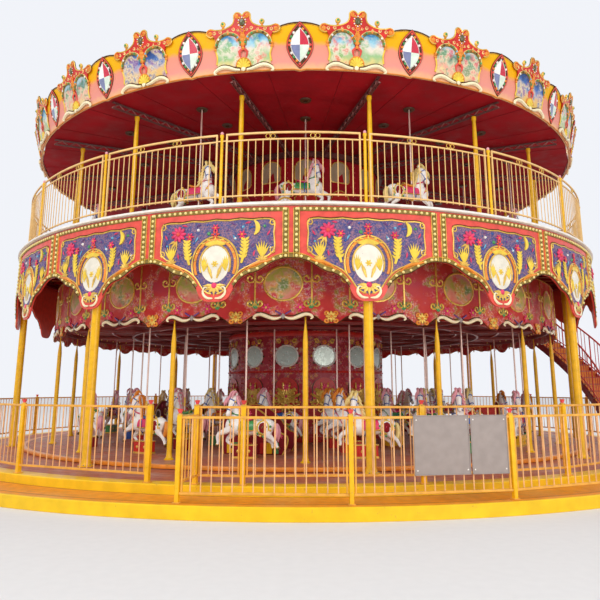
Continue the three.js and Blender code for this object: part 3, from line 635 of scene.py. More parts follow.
def sweep(path: Line, sizes: Sizes, sides: int = 8, steps: int = 1,
        side: Sequence[float] = (0.0, 1.0, 0.0)) -> Shape:
    """Draws a round or oval section along a path.

    Args:
        path: The points it passes through.
        sizes: The half width along side and the half height, at each point or for all, or one radius.
        sides: Sides of the section.
        steps: Points for each stretch of the path.
        side: The direction that the half width keeps.

    Returns:
        The closed shape.
    """
    same = (sizes, sizes) if isinstance(sizes, float) else sizes
    pairs = [same] * len(path) if isinstance(same, tuple) else same
    line = spline([(*point, *pair) for point, pair in zip(path, pairs)], steps)
    width = Vector(side).normalized()
    part = bmesh.new()
    before, edges = None, []
    for k, (x, y, z, across, up) in enumerate(line):
        ahead, behind = line[min(k + 1, len(line) - 1)], line[max(k - 1, 0)]
        along = (Vector(ahead[:3]) - Vector(behind[:3])).normalized()
        level = along.cross(width).normalized()
        columns = [width * max(across, 5e-4), level * max(up, 5e-4), width.cross(level)]
        now = Matrix(
            [[*(column[row] for column in columns), (x, y, z)[row]] for row in range(3)] + [[0, 0, 0, 1]])
        if before is None:
            bmesh.ops.create_circle(part, cap_ends=True, segments=sides, radius=1.0, matrix=now)
            edges = part.edges[:]
        else:
            pushed = bmesh.ops.extrude_edge_only(part, edges=edges)["geom"]
            moved = [item for item in pushed if isinstance(item, bmesh.types.BMVert)]
            bmesh.ops.transform(part, matrix=now @ before.inverted(), verts=moved)
            edges = [item for item in pushed
                if isinstance(item, bmesh.types.BMEdge) and all(v in moved for v in item.verts)]
        before = now
    bmesh.ops.edgeloop_fill(part, edges=edges)
    bmesh.ops.recalc_face_normals(part, faces=part.faces[:])
    return part


def arc(cx: float, cz: float, radius: float, start: float, end: float, count: int,
        rise: float | None = None) -> Outline:
    """Gives points on an arc.

    Args:
        cx: The centre across.
        cz: The centre's height.
        radius: The radius across.
        start: The first angle in degrees, from +X towards up.
        end: The last angle.
        count: How many stretches.
        rise: The radius upwards, where it differs.

    Returns:
        Points across and up.
    """
    angles = [math.radians(start + (end - start) * k / count) for k in range(count + 1)]
    return [(cx + radius * math.cos(a), cz + (radius if rise is None else rise) * math.sin(a))
        for a in angles]


def curl(cx: float, cz: float, radius: float, start: float, turn: float, count: int = 12) -> Outline:
    """Gives points of a spiral that winds in from its start.

    Args:
        cx: The centre across.
        cz: The centre's height.
        radius: The radius at the start.
        start: The first angle in degrees.
        turn: How far it winds, in degrees.
        count: How many stretches.

    Returns:
        Points across and up.
    """
    points = []
    for k in range(count + 1):
        share = k / count
        angle = math.radians(start + turn * share)
        points.append((cx + radius * (1 - 0.8 * share) * math.cos(angle),
            cz + radius * (1 - 0.8 * share) * math.sin(angle)))
    return points


def around(degrees: float) -> Matrix:
    """Turns what stands at the front to an angle round the axis."""
    return Matrix.Rotation(math.radians(degrees), 4, "Z")


def turned(angles: Iterable[float]) -> list[Matrix]:
    """Gives the turn to each of several angles in degrees."""
    return [around(degrees) for degrees in angles]


def bays(count: int, phase: float) -> list[Matrix]:
    """Gives equally spaced turns.

    Args:
        count: How many.
        phase: The first angle in degrees.

    Returns:
        One turn for each bay.
    """
    return turned(phase + k * 360.0 / count for k in range(count))


@dataclass
class Form:
    """A mesh under way, and the finishes that its faces wear."""

    mesh: Shape = field(default_factory=bmesh.new)
    finishes: list[Finish] = field(default_factory=list)

    def _wear(self, finish: Finish) -> int:
        """Finds a finish's place, adding it where it is new."""
        if finish not in self.finishes:
            self.finishes.append(finish)
        return self.finishes.index(finish)

    def add(self, part: Shape, finish: Finish) -> "Form":
        """Takes in a shape in one finish.

        Args:
            part: The shape, which is used up.
            finish: Its finish.

        Returns:
            This form.
        """
        index = self._wear(finish)
        for face in part.faces:
            face.material_index = index
            face.smooth = True
        scratch = bpy.data.meshes.new("scratch")
        part.to_mesh(scratch)
        part.free()
        self.mesh.from_mesh(scratch)
        bpy.data.meshes.remove(scratch)
        return self

    def stamp(self, pattern: "Form", places: Iterable[Matrix] = (Matrix(),),
            swaps: Mapping[Finish, Finish] | None = None) -> "Form":
        """Copies a pattern to each place.

        Args:
            pattern: The form to copy.
            places: Where it goes, or nowhere else.
            swaps: Finishes that change on the way.

        Returns:
            This form.
        """
        order = [self._wear((swaps or {}).get(finish, finish)) for finish in pattern.finishes]
        copy = pattern.mesh.copy()
        for face in copy.faces:
            face.material_index = order[face.material_index]
        scratch = bpy.data.meshes.new("scratch")
        copy.to_mesh(scratch)
        copy.free()
        for place in places:
            mirrored = place.determinant() < 0
            scratch.transform(place)
            if mirrored:
                scratch.flip_normals()
            self.mesh.from_mesh(scratch)
            if mirrored:
                scratch.flip_normals()
            scratch.transform(place.inverted())
        bpy.data.meshes.remove(scratch)
        return self

    def trim(self, path: Outline, front: float, sizes: Sizes, finish: Finish, sides: int = 5, steps: int = 1,
            rise: float = 0.0, side: int = 1) -> "Form":
        """Lays a rounded strip along a line at the front.

        Args:
            path: Points across and up.
            front: The radius that it lies on.
            sizes: As for sweep().
            finish: Its finish.
            sides: Sides of its section.
            steps: Points for each stretch of the line.
            rise: How much higher it lies than the line.
            side: -1 to lay it on the left.

        Returns:
            This form.
        """
        line = [(side * x, -front, z + rise) for x, z in path]
        return self.add(sweep(line, sizes, sides, steps), finish)

    def curls(self, table: Line, front: float, sizes: Point2, finish: Finish, count: int = 12,
            side: int = 1) -> "Form":
        """Lays spiral strips at the front.

        Args:
            table: For each its centre across and up, radius, first angle and turn in degrees.
            front: The radius that they lie on.
            sizes: The half width and half height of their section.
            finish: Their finish.
            count: How many stretches each has.
            side: -1 to lay them on the left.

        Returns:
            This form.
        """
        for cx, cz, size, start, turn in table:
            self.trim(curl(cx, cz, size, start, turn, count), front, sizes, finish, side=side)
        return self

    def mirrored(self) -> "Form":
        """Adds the same form on the other side of the middle plane, and returns this one."""
        whole = Form().stamp(self, [Matrix.Diagonal((-1.0, 1.0, 1.0, 1.0))])
        return self.stamp(whole)

    def bend(self, radius: float, seam: float = 0.0, lean: float = 0.0) -> "Form":
        """Wraps a form that was modelled flat at the front round the axis.

        Args:
            radius: The radius at which lengths across stay true.
            seam: The height from which it leans outwards.
            lean: How far it leans for each unit of height.

        Returns:
            This form.
        """
        for vert in self.mesh.verts:
            reach = -vert.co.y + max(0.0, vert.co.z - seam) * lean
            angle = vert.co.x / radius
            vert.co.x, vert.co.y = reach * math.sin(angle), -reach * math.cos(angle)
        return self

    def piece(self, name: str, body: str, slot: str, *nodes: str, crease: float = 38.0) -> bpy.types.Object:
        """Makes the form an object that rides on a body.

        Args:
            name: The piece's name.
            body: The body it rides on.
            slot: The record's material slot; not used.
            nodes: The CAD nodes it stands for.
            crease: Edges sharper than this many degrees stay sharp.

        Returns:
            The object.
        """
        mesh = bpy.data.meshes.new(name)
        self.mesh.to_mesh(mesh)
        self.mesh.free()
        mesh.set_sharp_from_angle(angle=math.radians(crease))
        for finish in self.finishes:
            mesh.materials.append(finish.material())
        made = bpy.data.objects.new(name, mesh)
        bpy.context.scene.collection.objects.link(made)
        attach(made, body)
        if nodes:
            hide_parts(*nodes)
        LOG.info("%s: %d faces on %s", name, len(mesh.polygons), body)
        return made


# Small ornaments

def flower(x: float, z: float, front: float, radius: float, petals: int, finish: Finish,
        heart: Finish) -> Form:
    """Makes a small flower of flat petals round a bead.

    Args:
        x: How far across.
        z: Its height.
        front: The radius that it lies on.
        radius: Its size.
        petals: How many petals.
        finish: Their finish.
        heart: The bead's finish.

    Returns:
        The form.
    """
    form = Form()
    for k in range(petals):
        angle = math.tau * k / petals
        away = (x + 0.55 * radius * math.cos(angle), z + 0.55 * radius * math.sin(angle))
        petal = pip((0.0, 0.0, 0.0), radius * 0.5, 0.35)
        bmesh.ops.scale(petal, vec=(1.0, 1.0, 0.5), verts=petal.verts[:])
        bmesh.ops.rotate(petal, cent=(0, 0, 0), matrix=Matrix.Rotation(-angle, 3, "Y"), verts=petal.verts[:])
        bmesh.ops.translate(petal, vec=(away[0], -front, away[1]), verts=petal.verts[:])
        form.add(petal, finish)
    return form.add(pip((x, -front - radius * 0.12, z), radius * 0.28), heart)


def bulb_row(points: Outline, front: float, radius: float, finish: Finish = BULB) -> Form:
    """Sets a round bulb at each point at the front."""
    form = Form()
    pattern = Form().add(pip((0, 0, 0), radius, 0.8), finish)
    return form.stamp(pattern, [Matrix.Translation((x, -front, z)) for x, z in points])


# Station

@dataclass
class Fence:
    """A run of iron fence on posts round a radius, each post with a flower bud on top."""

    radius: float
    base: float
    height: float
    post: float
    post_height: float
    foot: float = 0.12
    pitch: float = 0.136
    bar: float = 0.009
    rail: float = 0.02

    def panel(self, start: float, end: float) -> Form:
        """Makes the bars and rails between two posts.

        Args:
            start: The first post's angle in degrees.
            end: The second post's angle.

        Returns:
            The form, at its place.
        """
        half = math.radians((end - start) / 2)
        middle, length = self.radius * math.cos(half), 2 * self.radius * math.sin(half) - self.post
        flat = Form()
        for height in (self.foot, self.height):
            z = self.base + height
            flat.add(block((length + self.post, 2 * self.rail, 1.6 * self.rail), (0, -middle, z), 0.004),
                AMBER)
        for side in (-0.5, 0.5):
            flat.add(block((0.024, 0.024, self.height - self.foot),
                (side * (length - 0.05), -middle, self.base + (self.height + self.foot) / 2), 0.003), AMBER)
        count = max(2, round(length / self.pitch))
        for k in range(1, count):
            x = length * (k / count - 0.5)
            flat.add(
                rod((x, -middle, self.base + self.foot), (x, -middle, self.base + self.height), self.bar, 6),
                PEACH)
        return Form().stamp(flat, [around((start + end) / 2)])

    def upright(self) -> Form:
        """Makes one post at the front, with its base plate, collar and bud."""
        top = self.base + self.post_height
        form = Form().add(block((self.post, self.post, self.post_height - 0.05),
            (0, -self.radius, self.base + (self.post_height - 0.05) / 2 + 0.001), 0.005), YELLOW)
        form.add(
            block((self.post * 1.6, self.post * 1.6, 0.014), (0, -self.radius, self.base + 0.008), 0.003),
            AMBER)
        collar = [(0, top - 0.06), (self.post * 0.62, top - 0.06), (self.post * 0.66, top - 0.045),
            (0.016, top - 0.03), (0, top - 0.03)]
        form.add(spindle(collar, 0.0, self.radius, 10), GOLD)
        form.add(ball((0, -self.radius, top - 0.012), (0.024, 0.024, 0.03), 5), ROSE)
        for k in range(5):
            x, y = 0.026 * math.cos(k * math.tau / 5), 0.026 * math.sin(k * math.tau / 5)
            form.add(rod((x * 0.5, y * 0.5 - self.radius, top - 0.035), (x, y - self.radius, top + 0.02),
                0.006, 5, 0.016), CORAL)
        return form

    def run(self, posts: Sequence[float]) -> Form:
        """Makes a whole run.

        Args:
            posts: The posts' angles in degrees.

        Returns:
            The form.
        """
        form = Form().stamp(self.upright(), turned(posts))
        for start, end in zip(posts, posts[1:]):
            form.stamp(self.panel(start, end))
        return form


@dataclass
class Station:
    """The round floor, its step, the two fences and the bare notice boards."""

    floor: float = 8.35
    floor_top: float = 0.3
    step: float = 9.1
    step_top: float = 0.17
    entrance: tuple[float, float, float] = (-15.7, -10.7, -6.0)
    inner_panels: int = 20
    outer_start: float = -10.5
    outer_panels: int = 6
    outer_angle: float = 14.2
    returns: tuple[float, float] = (0.42, 1.224)

    def build(self) -> None:
        """Makes every piece of the station."""
        self.ground_rings()
        self.inner_fence()
        self.outer_fence()
        self.boards()

    def ground_rings(self) -> None:
        """Makes the floor with its yellow nosing, and the step with its own."""
        top, low = self.floor_top, self.step_top
        floor = Form().add(band(0.9, self.floor - 0.3, top, 0.01), DECK)
        floor.add(turning([(self.floor - 0.299, 0.01), (self.floor - 0.299, top), (self.floor - 0.012, top),
            (self.floor, top - 0.012), (self.floor, 0.01)], ROUND, True), LEDGE)
        floor.add(band(0, 0.899, 0.0, 0.309, 72), MAROON)
        floor.piece("station_floor_plates", "station", "deck_paint", "station_floor")
        inner = self.floor + 0.003
        step = Form().add(turning(
            [(inner, 0.0), (inner, low), (self.step - 0.05, low), (self.step - 0.05, 0.0)], ROUND, True),
            TREAD)
        step.add(turning([(self.step - 0.049, 0.0), (self.step - 0.049, low), (self.step - 0.012, low),
            (self.step, low - 0.012), (self.step, 0.0)], ROUND, True), LEDGE)
        step.piece("station_step_ring", "station", "deck_paint", "station_step")

    def inner_fence(self) -> None:
        """Makes the two halves of the inner fence, from the entrance gap round to the back."""
        fence = Fence(INNER_FENCE, self.floor_top, height=1.036, post=0.07, post_height=1.11)
        left, right, narrow = self.entrance
        turn = 360.0 + left - narrow
        posts = [narrow + turn * k / self.inner_panels for k in range(self.inner_panels + 1)]
        half = self.inner_panels // 2
        gap = 2 * math.degrees(0.0353 / INNER_FENCE)
        east = fence.run([right, *posts[:half + 1]])
        east.piece("inner_fence_east_bars", "station", "yellow_paint", "inner_fence_east")
        west = fence.run([posts[half] + gap, *posts[half + 1:]])
        west.piece("inner_fence_west_bars", "station", "yellow_paint", "inner_fence_west")

    def outer_fence(self) -> None:
        """Makes the outer fence on the step, with the short panels that close its ends."""
        fence = Fence(OUTER_FENCE, self.step_top, height=1.054, post=0.06, post_height=1.14)
        posts = [self.outer_start + k * self.outer_angle for k in range(self.outer_panels + 1)]
        form = fence.run(posts)
        closing = Form()
        for height in self.returns:
            closing.add(block((0.03, 0.64, 0.03), (0, -8.596, height), 0.004), AMBER)
        for k in range(5):
            low, high = ((0, -8.34 - 0.12 * k, z) for z in self.returns)
            closing.add(rod(low, high, 0.009, 6), AMBER)
        form.stamp(closing, [around(posts[0]), around(posts[-1])])
        form.piece("outer_fence_bars", "station", "yellow_paint", "outer_fence")

    def boards(self) -> None:
        """Makes the two bare notice boards with folded rims and rivets."""
        half = math.radians(self.outer_angle / 2)
        radius = OUTER_FENCE * math.cos(half) + 0.0203
        for k, (across, width) in enumerate(((0.11, 0.77), (0.775, 0.52))):
            form = Form().add(block((width, 0.006, 0.75), (across, -radius - 0.003, 0.875), 0.002), STEEL)
            for x, z, w, h in ((across, 1.244, width, 0.012), (across, 0.506, width, 0.012),
                    (across - width / 2 + 0.006, 0.875, 0.012, 0.75),
                    (across + width / 2 - 0.006, 0.875, 0.012, 0.75)):
                form.add(block((w, 0.013, h), (x, -radius - 0.007, z), 0.002), STEEL)
            for x in (-1, 1):
                for z in (0.56, 1.19):
                    form.add(pip((across + x * (width / 2 - 0.04), -radius - 0.008, z), 0.011), IVORY)
            board = Form().stamp(form, [around(self.outer_start + self.outer_angle * 1.5)])
            board.piece(f"notice_board_{k + 1}_plate", "station", "board_metal", f"notice_board_{k + 1}")


# Balcony

@dataclass
class Balcony:
    """The ring balcony: pillars, joists, painted fascia and railing."""

    inner: float = 6.1
    outer: float = 7.23
    face: float = 7.262
    under: float = 4.46
    top: float = 4.56
    kerb: float = 7.33
    kerb_top: float = 4.615
    bays: int = 18
    phase: float = -1.85
    rail: float = 7.135
    rails: tuple[Point2, ...] = ((5.91, 0.017), (5.79, 0.013), (4.79, 0.014))
    rail_phase: float = 8.26
    pillar: float = 7.115
    doorway: tuple[float, float] = (128.26, 139.5)

    @property
    def half(self) -> float:
        """Half the length of a bay along the fascia."""
        return math.pi * self.face / self.bays

    def build(self) -> None:
        """Makes every piece of the balcony."""
        self.pillars()
        self.floor()
        self.fascia()
        self.railing()

    def pillars(self) -> None:
        """Makes the nine yellow pillars and the beam that they carry."""
        top = self.under - 0.001
        one = Form().add(spindle([(0, 0.301), (0.135, 0.301), (0.135, 0.318), (0.1, 0.325), (0.09, 0.36),
            (0.078, 0.4), (0.076, 3.9), (0.088, 3.93), (0.088, 3.98), (0.078, 4.0), (0.08, 4.2), (0.1, 4.3),
            (0, 4.3)], 0.0, self.pillar, 20), YELLOW)
        for k in range(6):
            x, y = 0.115 * math.cos(k * math.pi / 3), 0.115 * math.sin(k * math.pi / 3)
            one.add(rod((x, -self.pillar + y, 0.318), (x, -self.pillar + y, 0.334), 0.01, 6), STEEL)
        form = Form().stamp(one, bays(9, self.rail_phase))
        beam = [(7.05, 4.34), (7.18, 4.34), (7.18, 4.365), (7.13, 4.365), (7.13, 4.44), (7.18, 4.44),
            (7.18, top), (7.05, top), (7.05, 4.44), (7.1, 4.44), (7.1, 4.365), (7.05, 4.365)]
        form.add(turning(beam, ROUND, True), MAROON)
        form.piece("balcony_pillars", "station", "yellow_paint", "balcony_frame")

    def floor(self) -> None:
        """Makes the ring floor over its joists."""
        form = Form().add(band(self.inner, self.outer, 4.52, self.top), DECK)
        form.add(band(self.inner, self.inner + 0.03, self.under, 4.519), MAROON)
        joist = Form().add(block((0.05, 0.9, 0.055), (0, -6.6, 4.49), 0.004), MAROON)
        form.stamp(joist, bays(72, 0.0))
        form.piece("balcony_floor_joists", "station", "crimson_paint", "balcony_floor")

    def hem(self) -> Outline:
        """Gives the fascia's lower edge, from the left end of a bay to the right one."""
        right = spline([(0.0, 2.975), (0.14, 2.985), (0.25, 3.06), (0.36, 3.26), (0.52, 3.4), (0.72, 3.46),
            (0.92, 3.58), (1.1, 3.655), (self.half, 3.67)], 3)
        return [(-x, z) for x, z in reversed(right)] + right[1:]

    def fascia(self) -> None:
        """Makes the painted bays and sets them round the balcony."""
        structure = Form()
        high = self.top - 0.005
        board = plate(self.hem() + [(self.half, high), (-self.half, high)], self.outer + 0.001, self.face)
        structure.add(sliced(board), CORAL)
        field_edge = [(-x, z) for x, z in reversed(self.field()[1:])] + self.field()
        structure.add(sliced(plate(field_edge, self.face, self.face + 0.006)), FIELD)
        structure.bend(self.face)
        carved = self.carved_half().mirrored()
        carved.stamp(self.strewn())
        carved.stamp(self.crest())
        carved.bend(self.face)
        turns = bays(self.bays, self.phase + 180.0 / self.bays)
        Form().stamp(structure, turns).piece("balcony_fascia_panels", "station", "relief_paint",
            "balcony_fascia")
        Form().stamp(carved, turns).piece("balcony_fascia_carving", "station", "gold_paint", crease=50.0)
        rim = Form().add(turning([(self.outer + 0.001, 4.566), (self.kerb - 0.02, 4.566), (self.kerb, 4.576),
            (self.kerb, 4.6), (self.kerb - 0.012, self.kerb_top), (self.outer + 0.001, self.kerb_top)], 180,
            True), IVORY)
        rim.piece("balcony_kerb", "station", "cream_gloss")

    def field(self) -> Outline:
        """Gives the right edge of the blue field, from the top middle down to the arch."""
        return spline([(0.0, 4.345), (0.22, 4.325), (0.42, 4.345), (0.62, 4.325), (0.82, 4.34), (0.96, 4.32),
            (1.0, 4.26), (0.985, 4.1), (1.0, 3.9), (0.97, 3.78), (0.8, 3.66), (0.6, 3.56), (0.44, 3.48),
            (0.3, 3.34), (0.18, 3.16), (0.05, 3.1)], 2)

    def carved_half(self) -> Form:
        """Makes the right half of a bay's carving: bulb columns, torches, sheaves and scrolls."""
        form, face = Form(), self.face
        top = [(0.05 + 0.1 * k, 4.5) for k in range(12)]
        form.add(sliced(block((1.14, 0.012, 0.075), (0.575, -face - 0.006, 4.5), 0.003)), OLIVE)
        form.stamp(bulb_row(top, face + 0.02, 0.031))
        form.add(block((0.086, 0.014, 0.85), (1.18, -face - 0.006, 4.1), 0.003), OLIVE)
        form.stamp(bulb_row([(1.18, 4.5 - 0.088 * k) for k in range(10)], face + 0.02, 0.031))
        for x in (1.132, 1.228):
            form.add(block((0.009, 0.02, 0.83), (x, -face - 0.01, 4.1)), GOLD)
        hem = [(x, z + 0.042) for x, z in self.hem() if x > 0.3]
        form.trim(hem, face + 0.006, (0.008, 0.034), OLIVE)
        form.stamp(bulb_row(hem[1:-3:2], face + 0.02, 0.03))
        for shift, finish in ((0.003, DARK), (0.084, GOLD)):
            form.trim(hem, face + 0.012, 0.009, finish, 4, rise=shift - 0.04)
        edge = self.field()
        form.trim(edge, face + 0.01, (0.01, 0.013), GOLD)
        form.trim(edge[:13], face + 0.006, 0.008, DARK, 4, rise=0.022)
        stem = [(0.45, -face - 0.014, 3.6), (0.49, -face - 0.02, 3.74), (0.51, -face - 0.02, 3.88),
            (0.5, -face - 0.02, 4.02)]
        form.add(sweep(stem, [(0.012, 0.02), (0.016, 0.03), (0.016, 0.03), (0.008, 0.012)], 5, 2),
            PALE_YELLOW)
        for k in range(6):
            for side in (-1, 1):
                base = (0.475 + 0.01 * min(k, 3), 3.68 + 0.058 * k)
                form.add(self.leaf(base, (base[0] + side * 0.075, base[1] + 0.07), 0.024), PALE_YELLOW)
        form.stamp(flower(0.455, 4.08, face + 0.02, 0.075, 6, ROSE, ORANGE))
        self.spray(form, (0.79, 3.68), arc(0.79, 3.72, 0.17, 42, 127, 5, 0.25), 0.02, PALE_YELLOW)
        self.spray(form, (0.79, 3.64), arc(0.79, 3.64, 0.11, 20, 160, 4, 0.1), 0.022, GOLD)
        for x, z, tilt, finish in ((0.64, 3.9, 50, PLUM), (0.92, 3.98, 100, PLUM), (0.62, 4.2, 20, BLUE),
                (0.9, 4.1, 60, ROSE), (0.3, 4.27, 150, PLUM), (0.56, 4.28, 10, ROSE), (0.33, 4.03, 120, SKY),
                (0.66, 3.76, 80, ROSE)):
            away = (0.05 * math.cos(math.radians(tilt)), 0.05 * math.sin(math.radians(tilt)))
            form.add(self.leaf((x - away[0], z - away[1]), (x + away[0], z + away[1]), 0.017), finish)
        scroll = [(0.98, 3.66), (0.86, 3.62), (0.74, 3.6), (0.62, 3.55), (0.54, 3.47)]
        form.trim(scroll, face + 0.014,
            [(0.012, 0.01), (0.02, 0.022), (0.02, 0.028), (0.02, 0.022), (0.01, 0.01)], ORANGE, 5, 2)
        for x, z in ((0.985, 4.29), (0.99, 3.82)):
            form.trim(curl(x - 0.02, z - 0.02, 0.06, 80, 400, 8), face + 0.014, (0.009, 0.012), GOLD, 4)
        return form

    def strewn(self) -> Form:
        """Makes what differs between the halves of a bay: the big flower, the crescent and the gems."""
        form, face = Form(), self.face
        form.stamp(flower(-0.665, 4.135, face + 0.02, 0.14, 9, ROSE, CORAL))
        self.spray(form, (-0.7, 4.04), arc(-0.7, 4.04, 0.16, 205, 269, 2), 0.02, GOLD)
        moon = arc(0.62, 4.19, 0.14, -72, 72, 10, 0.132)
        inner = [(x - 0.075 * math.cos(math.radians(-72 + 14.4 * k)), z) for k, (x, z) in enumerate(moon)]
        form.add(plate(moon + [(x, z) for x, z in reversed(inner[1:-1])], face + 0.004, face + 0.03),
            PALE_YELLOW)
        for x, z, radius, finish in ((-0.85, 4.17, 0.026, PLUM), (-0.31, 4.19, 0.03, IVORY),
                (-0.12, 4.12, 0.04, GREEN), (0.2, 4.165, 0.024, PLUM), (0.47, 4.21, 0.03, SKY),
                (0.83, 4.215, 0.03, GREEN), (-0.38, 3.97, 0.028, BLUE), (0.34, 4.02, 0.026, IVORY),
                (-0.88, 3.95, 0.022, SKY), (0.93, 3.85, 0.02, IVORY), (-0.6, 3.78, 0.024, PLUM),
                (-0.15, 4.27, 0.02, BLUE)):
            form.add(rod((x, -face, z), (x, -face - 0.026, z), radius, 8, radius * 0.55), finish)
        return form

    def leaf(self, base: Point2, tip: Point2, half: float) -> Shape:
        """Makes a pointed leaf with a ridge.

        Args:
            base: Where it springs from.
            tip: Where it ends.
            half: Half its width.

        Returns:
            The shape.
        """
        front = self.face + 0.02
        middle = ((base[0] + tip[0]) / 2, (base[1] + tip[1]) / 2)
        return sweep([(base[0], -front + 0.006, base[1]), (middle[0], -front, middle[1]),
            (tip[0], -front + 0.006, tip[1])], [(0.006, half * 0.4), (0.01, half), (0.003, 0.002)], 4)

    def spray(self, form: Form, base: Point2, tips: Outline, half: float, finish: Finish) -> None:
        """Adds leaves that spring from one point to several tips.

        Args:
            form: The carving so far.
            base: Where they spring from.
            tips: Where they end.
            half: Half a leaf's width.
            finish: Their finish.
        """
        for tip in tips:
            form.add(self.leaf(base, tip, half), finish)

    def crest(self) -> Form:
        """Makes the middle of a bay: the pale oval in its arched frame, the shell over it and the pendant."""
        form, face, middle = Form(), self.face, 3.6
        disc = arc(0.0, middle, 0.25, 0, 360, 28, 0.31)[:-1]
        form.add(sliced(plate(disc, face + 0.004, face + 0.012)), OPAL)
        for radius, rise, finish, size in ((0.265, 0.325, GOLD, 0.016), (0.35, 0.41, ORANGE, 0.026),
                (0.4, 0.46, GOLD, 0.016)):
            ring = arc(0.0, middle, radius, 205, -25, 26, rise)
            form.trim(ring, face + 0.014, (0.014, size), finish)
        for x, z in arc(0.0, middle, 0.35, 170, 10, 10, 0.41):
            form.add(pip((x, -face - 0.032, z), 0.018), GOLD)
        for k in range(9):
            angle = math.radians(10 + 20 * k)
            reach = 0.27 if k % 2 == 0 else 0.21
            form.add(self.leaf((0.0, 3.93), (reach * math.cos(angle), 3.93 + 0.5 * reach * math.sin(angle)),
                0.034), PALE_YELLOW)
        for z, size, petals, heart in ((4.1, 0.075, CORAL, PLUM), (4.21, 0.07, ROSE, ORANGE)):
            form.stamp(flower(0.0, z, face + 0.02, size, 6, petals, heart))
        for side in (-1, 1):
            tips = [(side * x, z) for x, z in arc(0.19, 3.5, 0.09, 60, 148, 4, 0.24)]
            self.spray(form, (side * 0.19, 3.48), tips, 0.02, PALE_YELLOW)
            form.add(self.leaf((side * 0.04, 3.36), (side * 0.13, 3.62), 0.03), GOLD)
        form.stamp(flower(0.0, middle, face + 0.014, 0.06, 6, PALE_YELLOW, GOLD))
        self.spray(form, (0.0, 3.24), arc(0.0, 3.24, 0.2, 180, 360, 6, 0.17), 0.03, GOLD)
        form.add(ball((0.0, -face - 0.02, 3.24), (0.05, 0.02, 0.05), 5), ROSE)
        for side in (-1, 1):
            form.trim([(0.02, 3.03), (0.12, 3.04), (0.19, 3.12), (0.17, 3.21), (0.1, 3.2)], face + 0.014,
                [(0.01, 0.012), (0.016, 0.024), (0.016, 0.022), (0.012, 0.016), (0.008, 0.008)], CREAM,
                steps=3, side=side)
        return form

    def railing(self) -> None:
        """Makes the railing: a panel a bay with a double top rail, rings in it, and posts with knobs."""
        turns = [self.rail_phase + 20.0 * k for k in range(self.bays)]
        panel, gap = Form(), 0.09
        length = 2 * math.pi * self.rail / self.bays - 2 * gap
        for z, size in self.rails:
            panel.add(block((length, 2 * size, 2 * size), (0, -self.rail, z), 0.004), RAIL)
            bmesh.ops.subdivide_edges(panel.mesh, cuts=7,
                edges=[e for e in panel.mesh.edges if abs(e.verts[0].co.x - e.verts[1].co.x) > length / 2])
        for x in (-length / 2, length / 2):
            panel.add(block((0.03, 0.03, 1.27), (x, -self.rail, 5.292), 0.004), RAIL)
        self.bars(panel, length, 18, range(1, 18))
        for x in (-length / 6, length / 6):
            for side in (-1, 1):
                panel.trim(arc(x + side * 0.042, 5.85, 0.04, 0, 360, 14), self.rail, 0.006, GOLD)
            panel.add(pip((x, -self.rail - 0.004, 5.85), 0.016, 1.0), GOLD)
        for side in (-1, 1):
            end = side * (length / 2 + 0.045)
            for z in (4.79, 5.8):
                panel.add(block((0.075, 0.012, 0.02), (end, -self.rail, z)), RAIL)
        panel.bend(self.rail)
        first, last = self.doorway
        kept = turned(degrees + 10.0 for degrees in turns if not first < degrees + 10.0 < last + 8)
        form = Form().stamp(panel, kept)
        post = Form().add(spindle([(0, 4.561), (0.04, 4.561), (0.04, 4.58), (0.028, 4.6), (0.026, 5.86),
            (0.036, 5.88), (0.036, 5.91), (0.018, 5.925), (0, 5.925)], 0.0, self.rail, 10), YELLOW)
        post.add(ball((0, -self.rail, 5.94), (0.03, 0.03, 0.034), 6), PINK)
        spots = [degrees for degrees in turns if not first < degrees < last] + [last]
        form.stamp(post, turned(spots))
        form.stamp(self.short_panel(last + 0.9, turns[7] - 0.9))
        form.piece("balcony_railing_bars", "station", "gold_paint", "balcony_railing")

    def bars(self, form: Form, length: float, count: int, places: Iterable[int]) -> None:
        """Adds upright bars to a panel of the railing.

        Args:
            form: The panel so far.
            length: Its length.
            count: How many gaps it has.
            places: The gaps' ends that a bar stands at.
        """
        for k in places:
            x = length * (k / count - 0.5)
            form.add(rod((x, -self.rail, 4.76), (x, -self.rail, 5.79), 0.0085, 6), RAIL)

    def short_panel(self, start: float, end: float) -> Form:
        """Makes the shorter panel beside the doorway.

        Args:
            start: Its first angle in degrees.
            end: Its last angle.

        Returns:
            The form, at its place.
        """
        length = math.radians(end - start) * self.rail
        form = Form()
        for z, size in self.rails:
            form.add(block((length, 2 * size, 2 * size), (0, -self.rail, z), 0.004), RAIL)
        count = max(2, round(length / 0.13))
        self.bars(form, length, count, range(count + 1))
        return Form().stamp(form.bend(self.rail), [around((start + end) / 2)])


# Stair

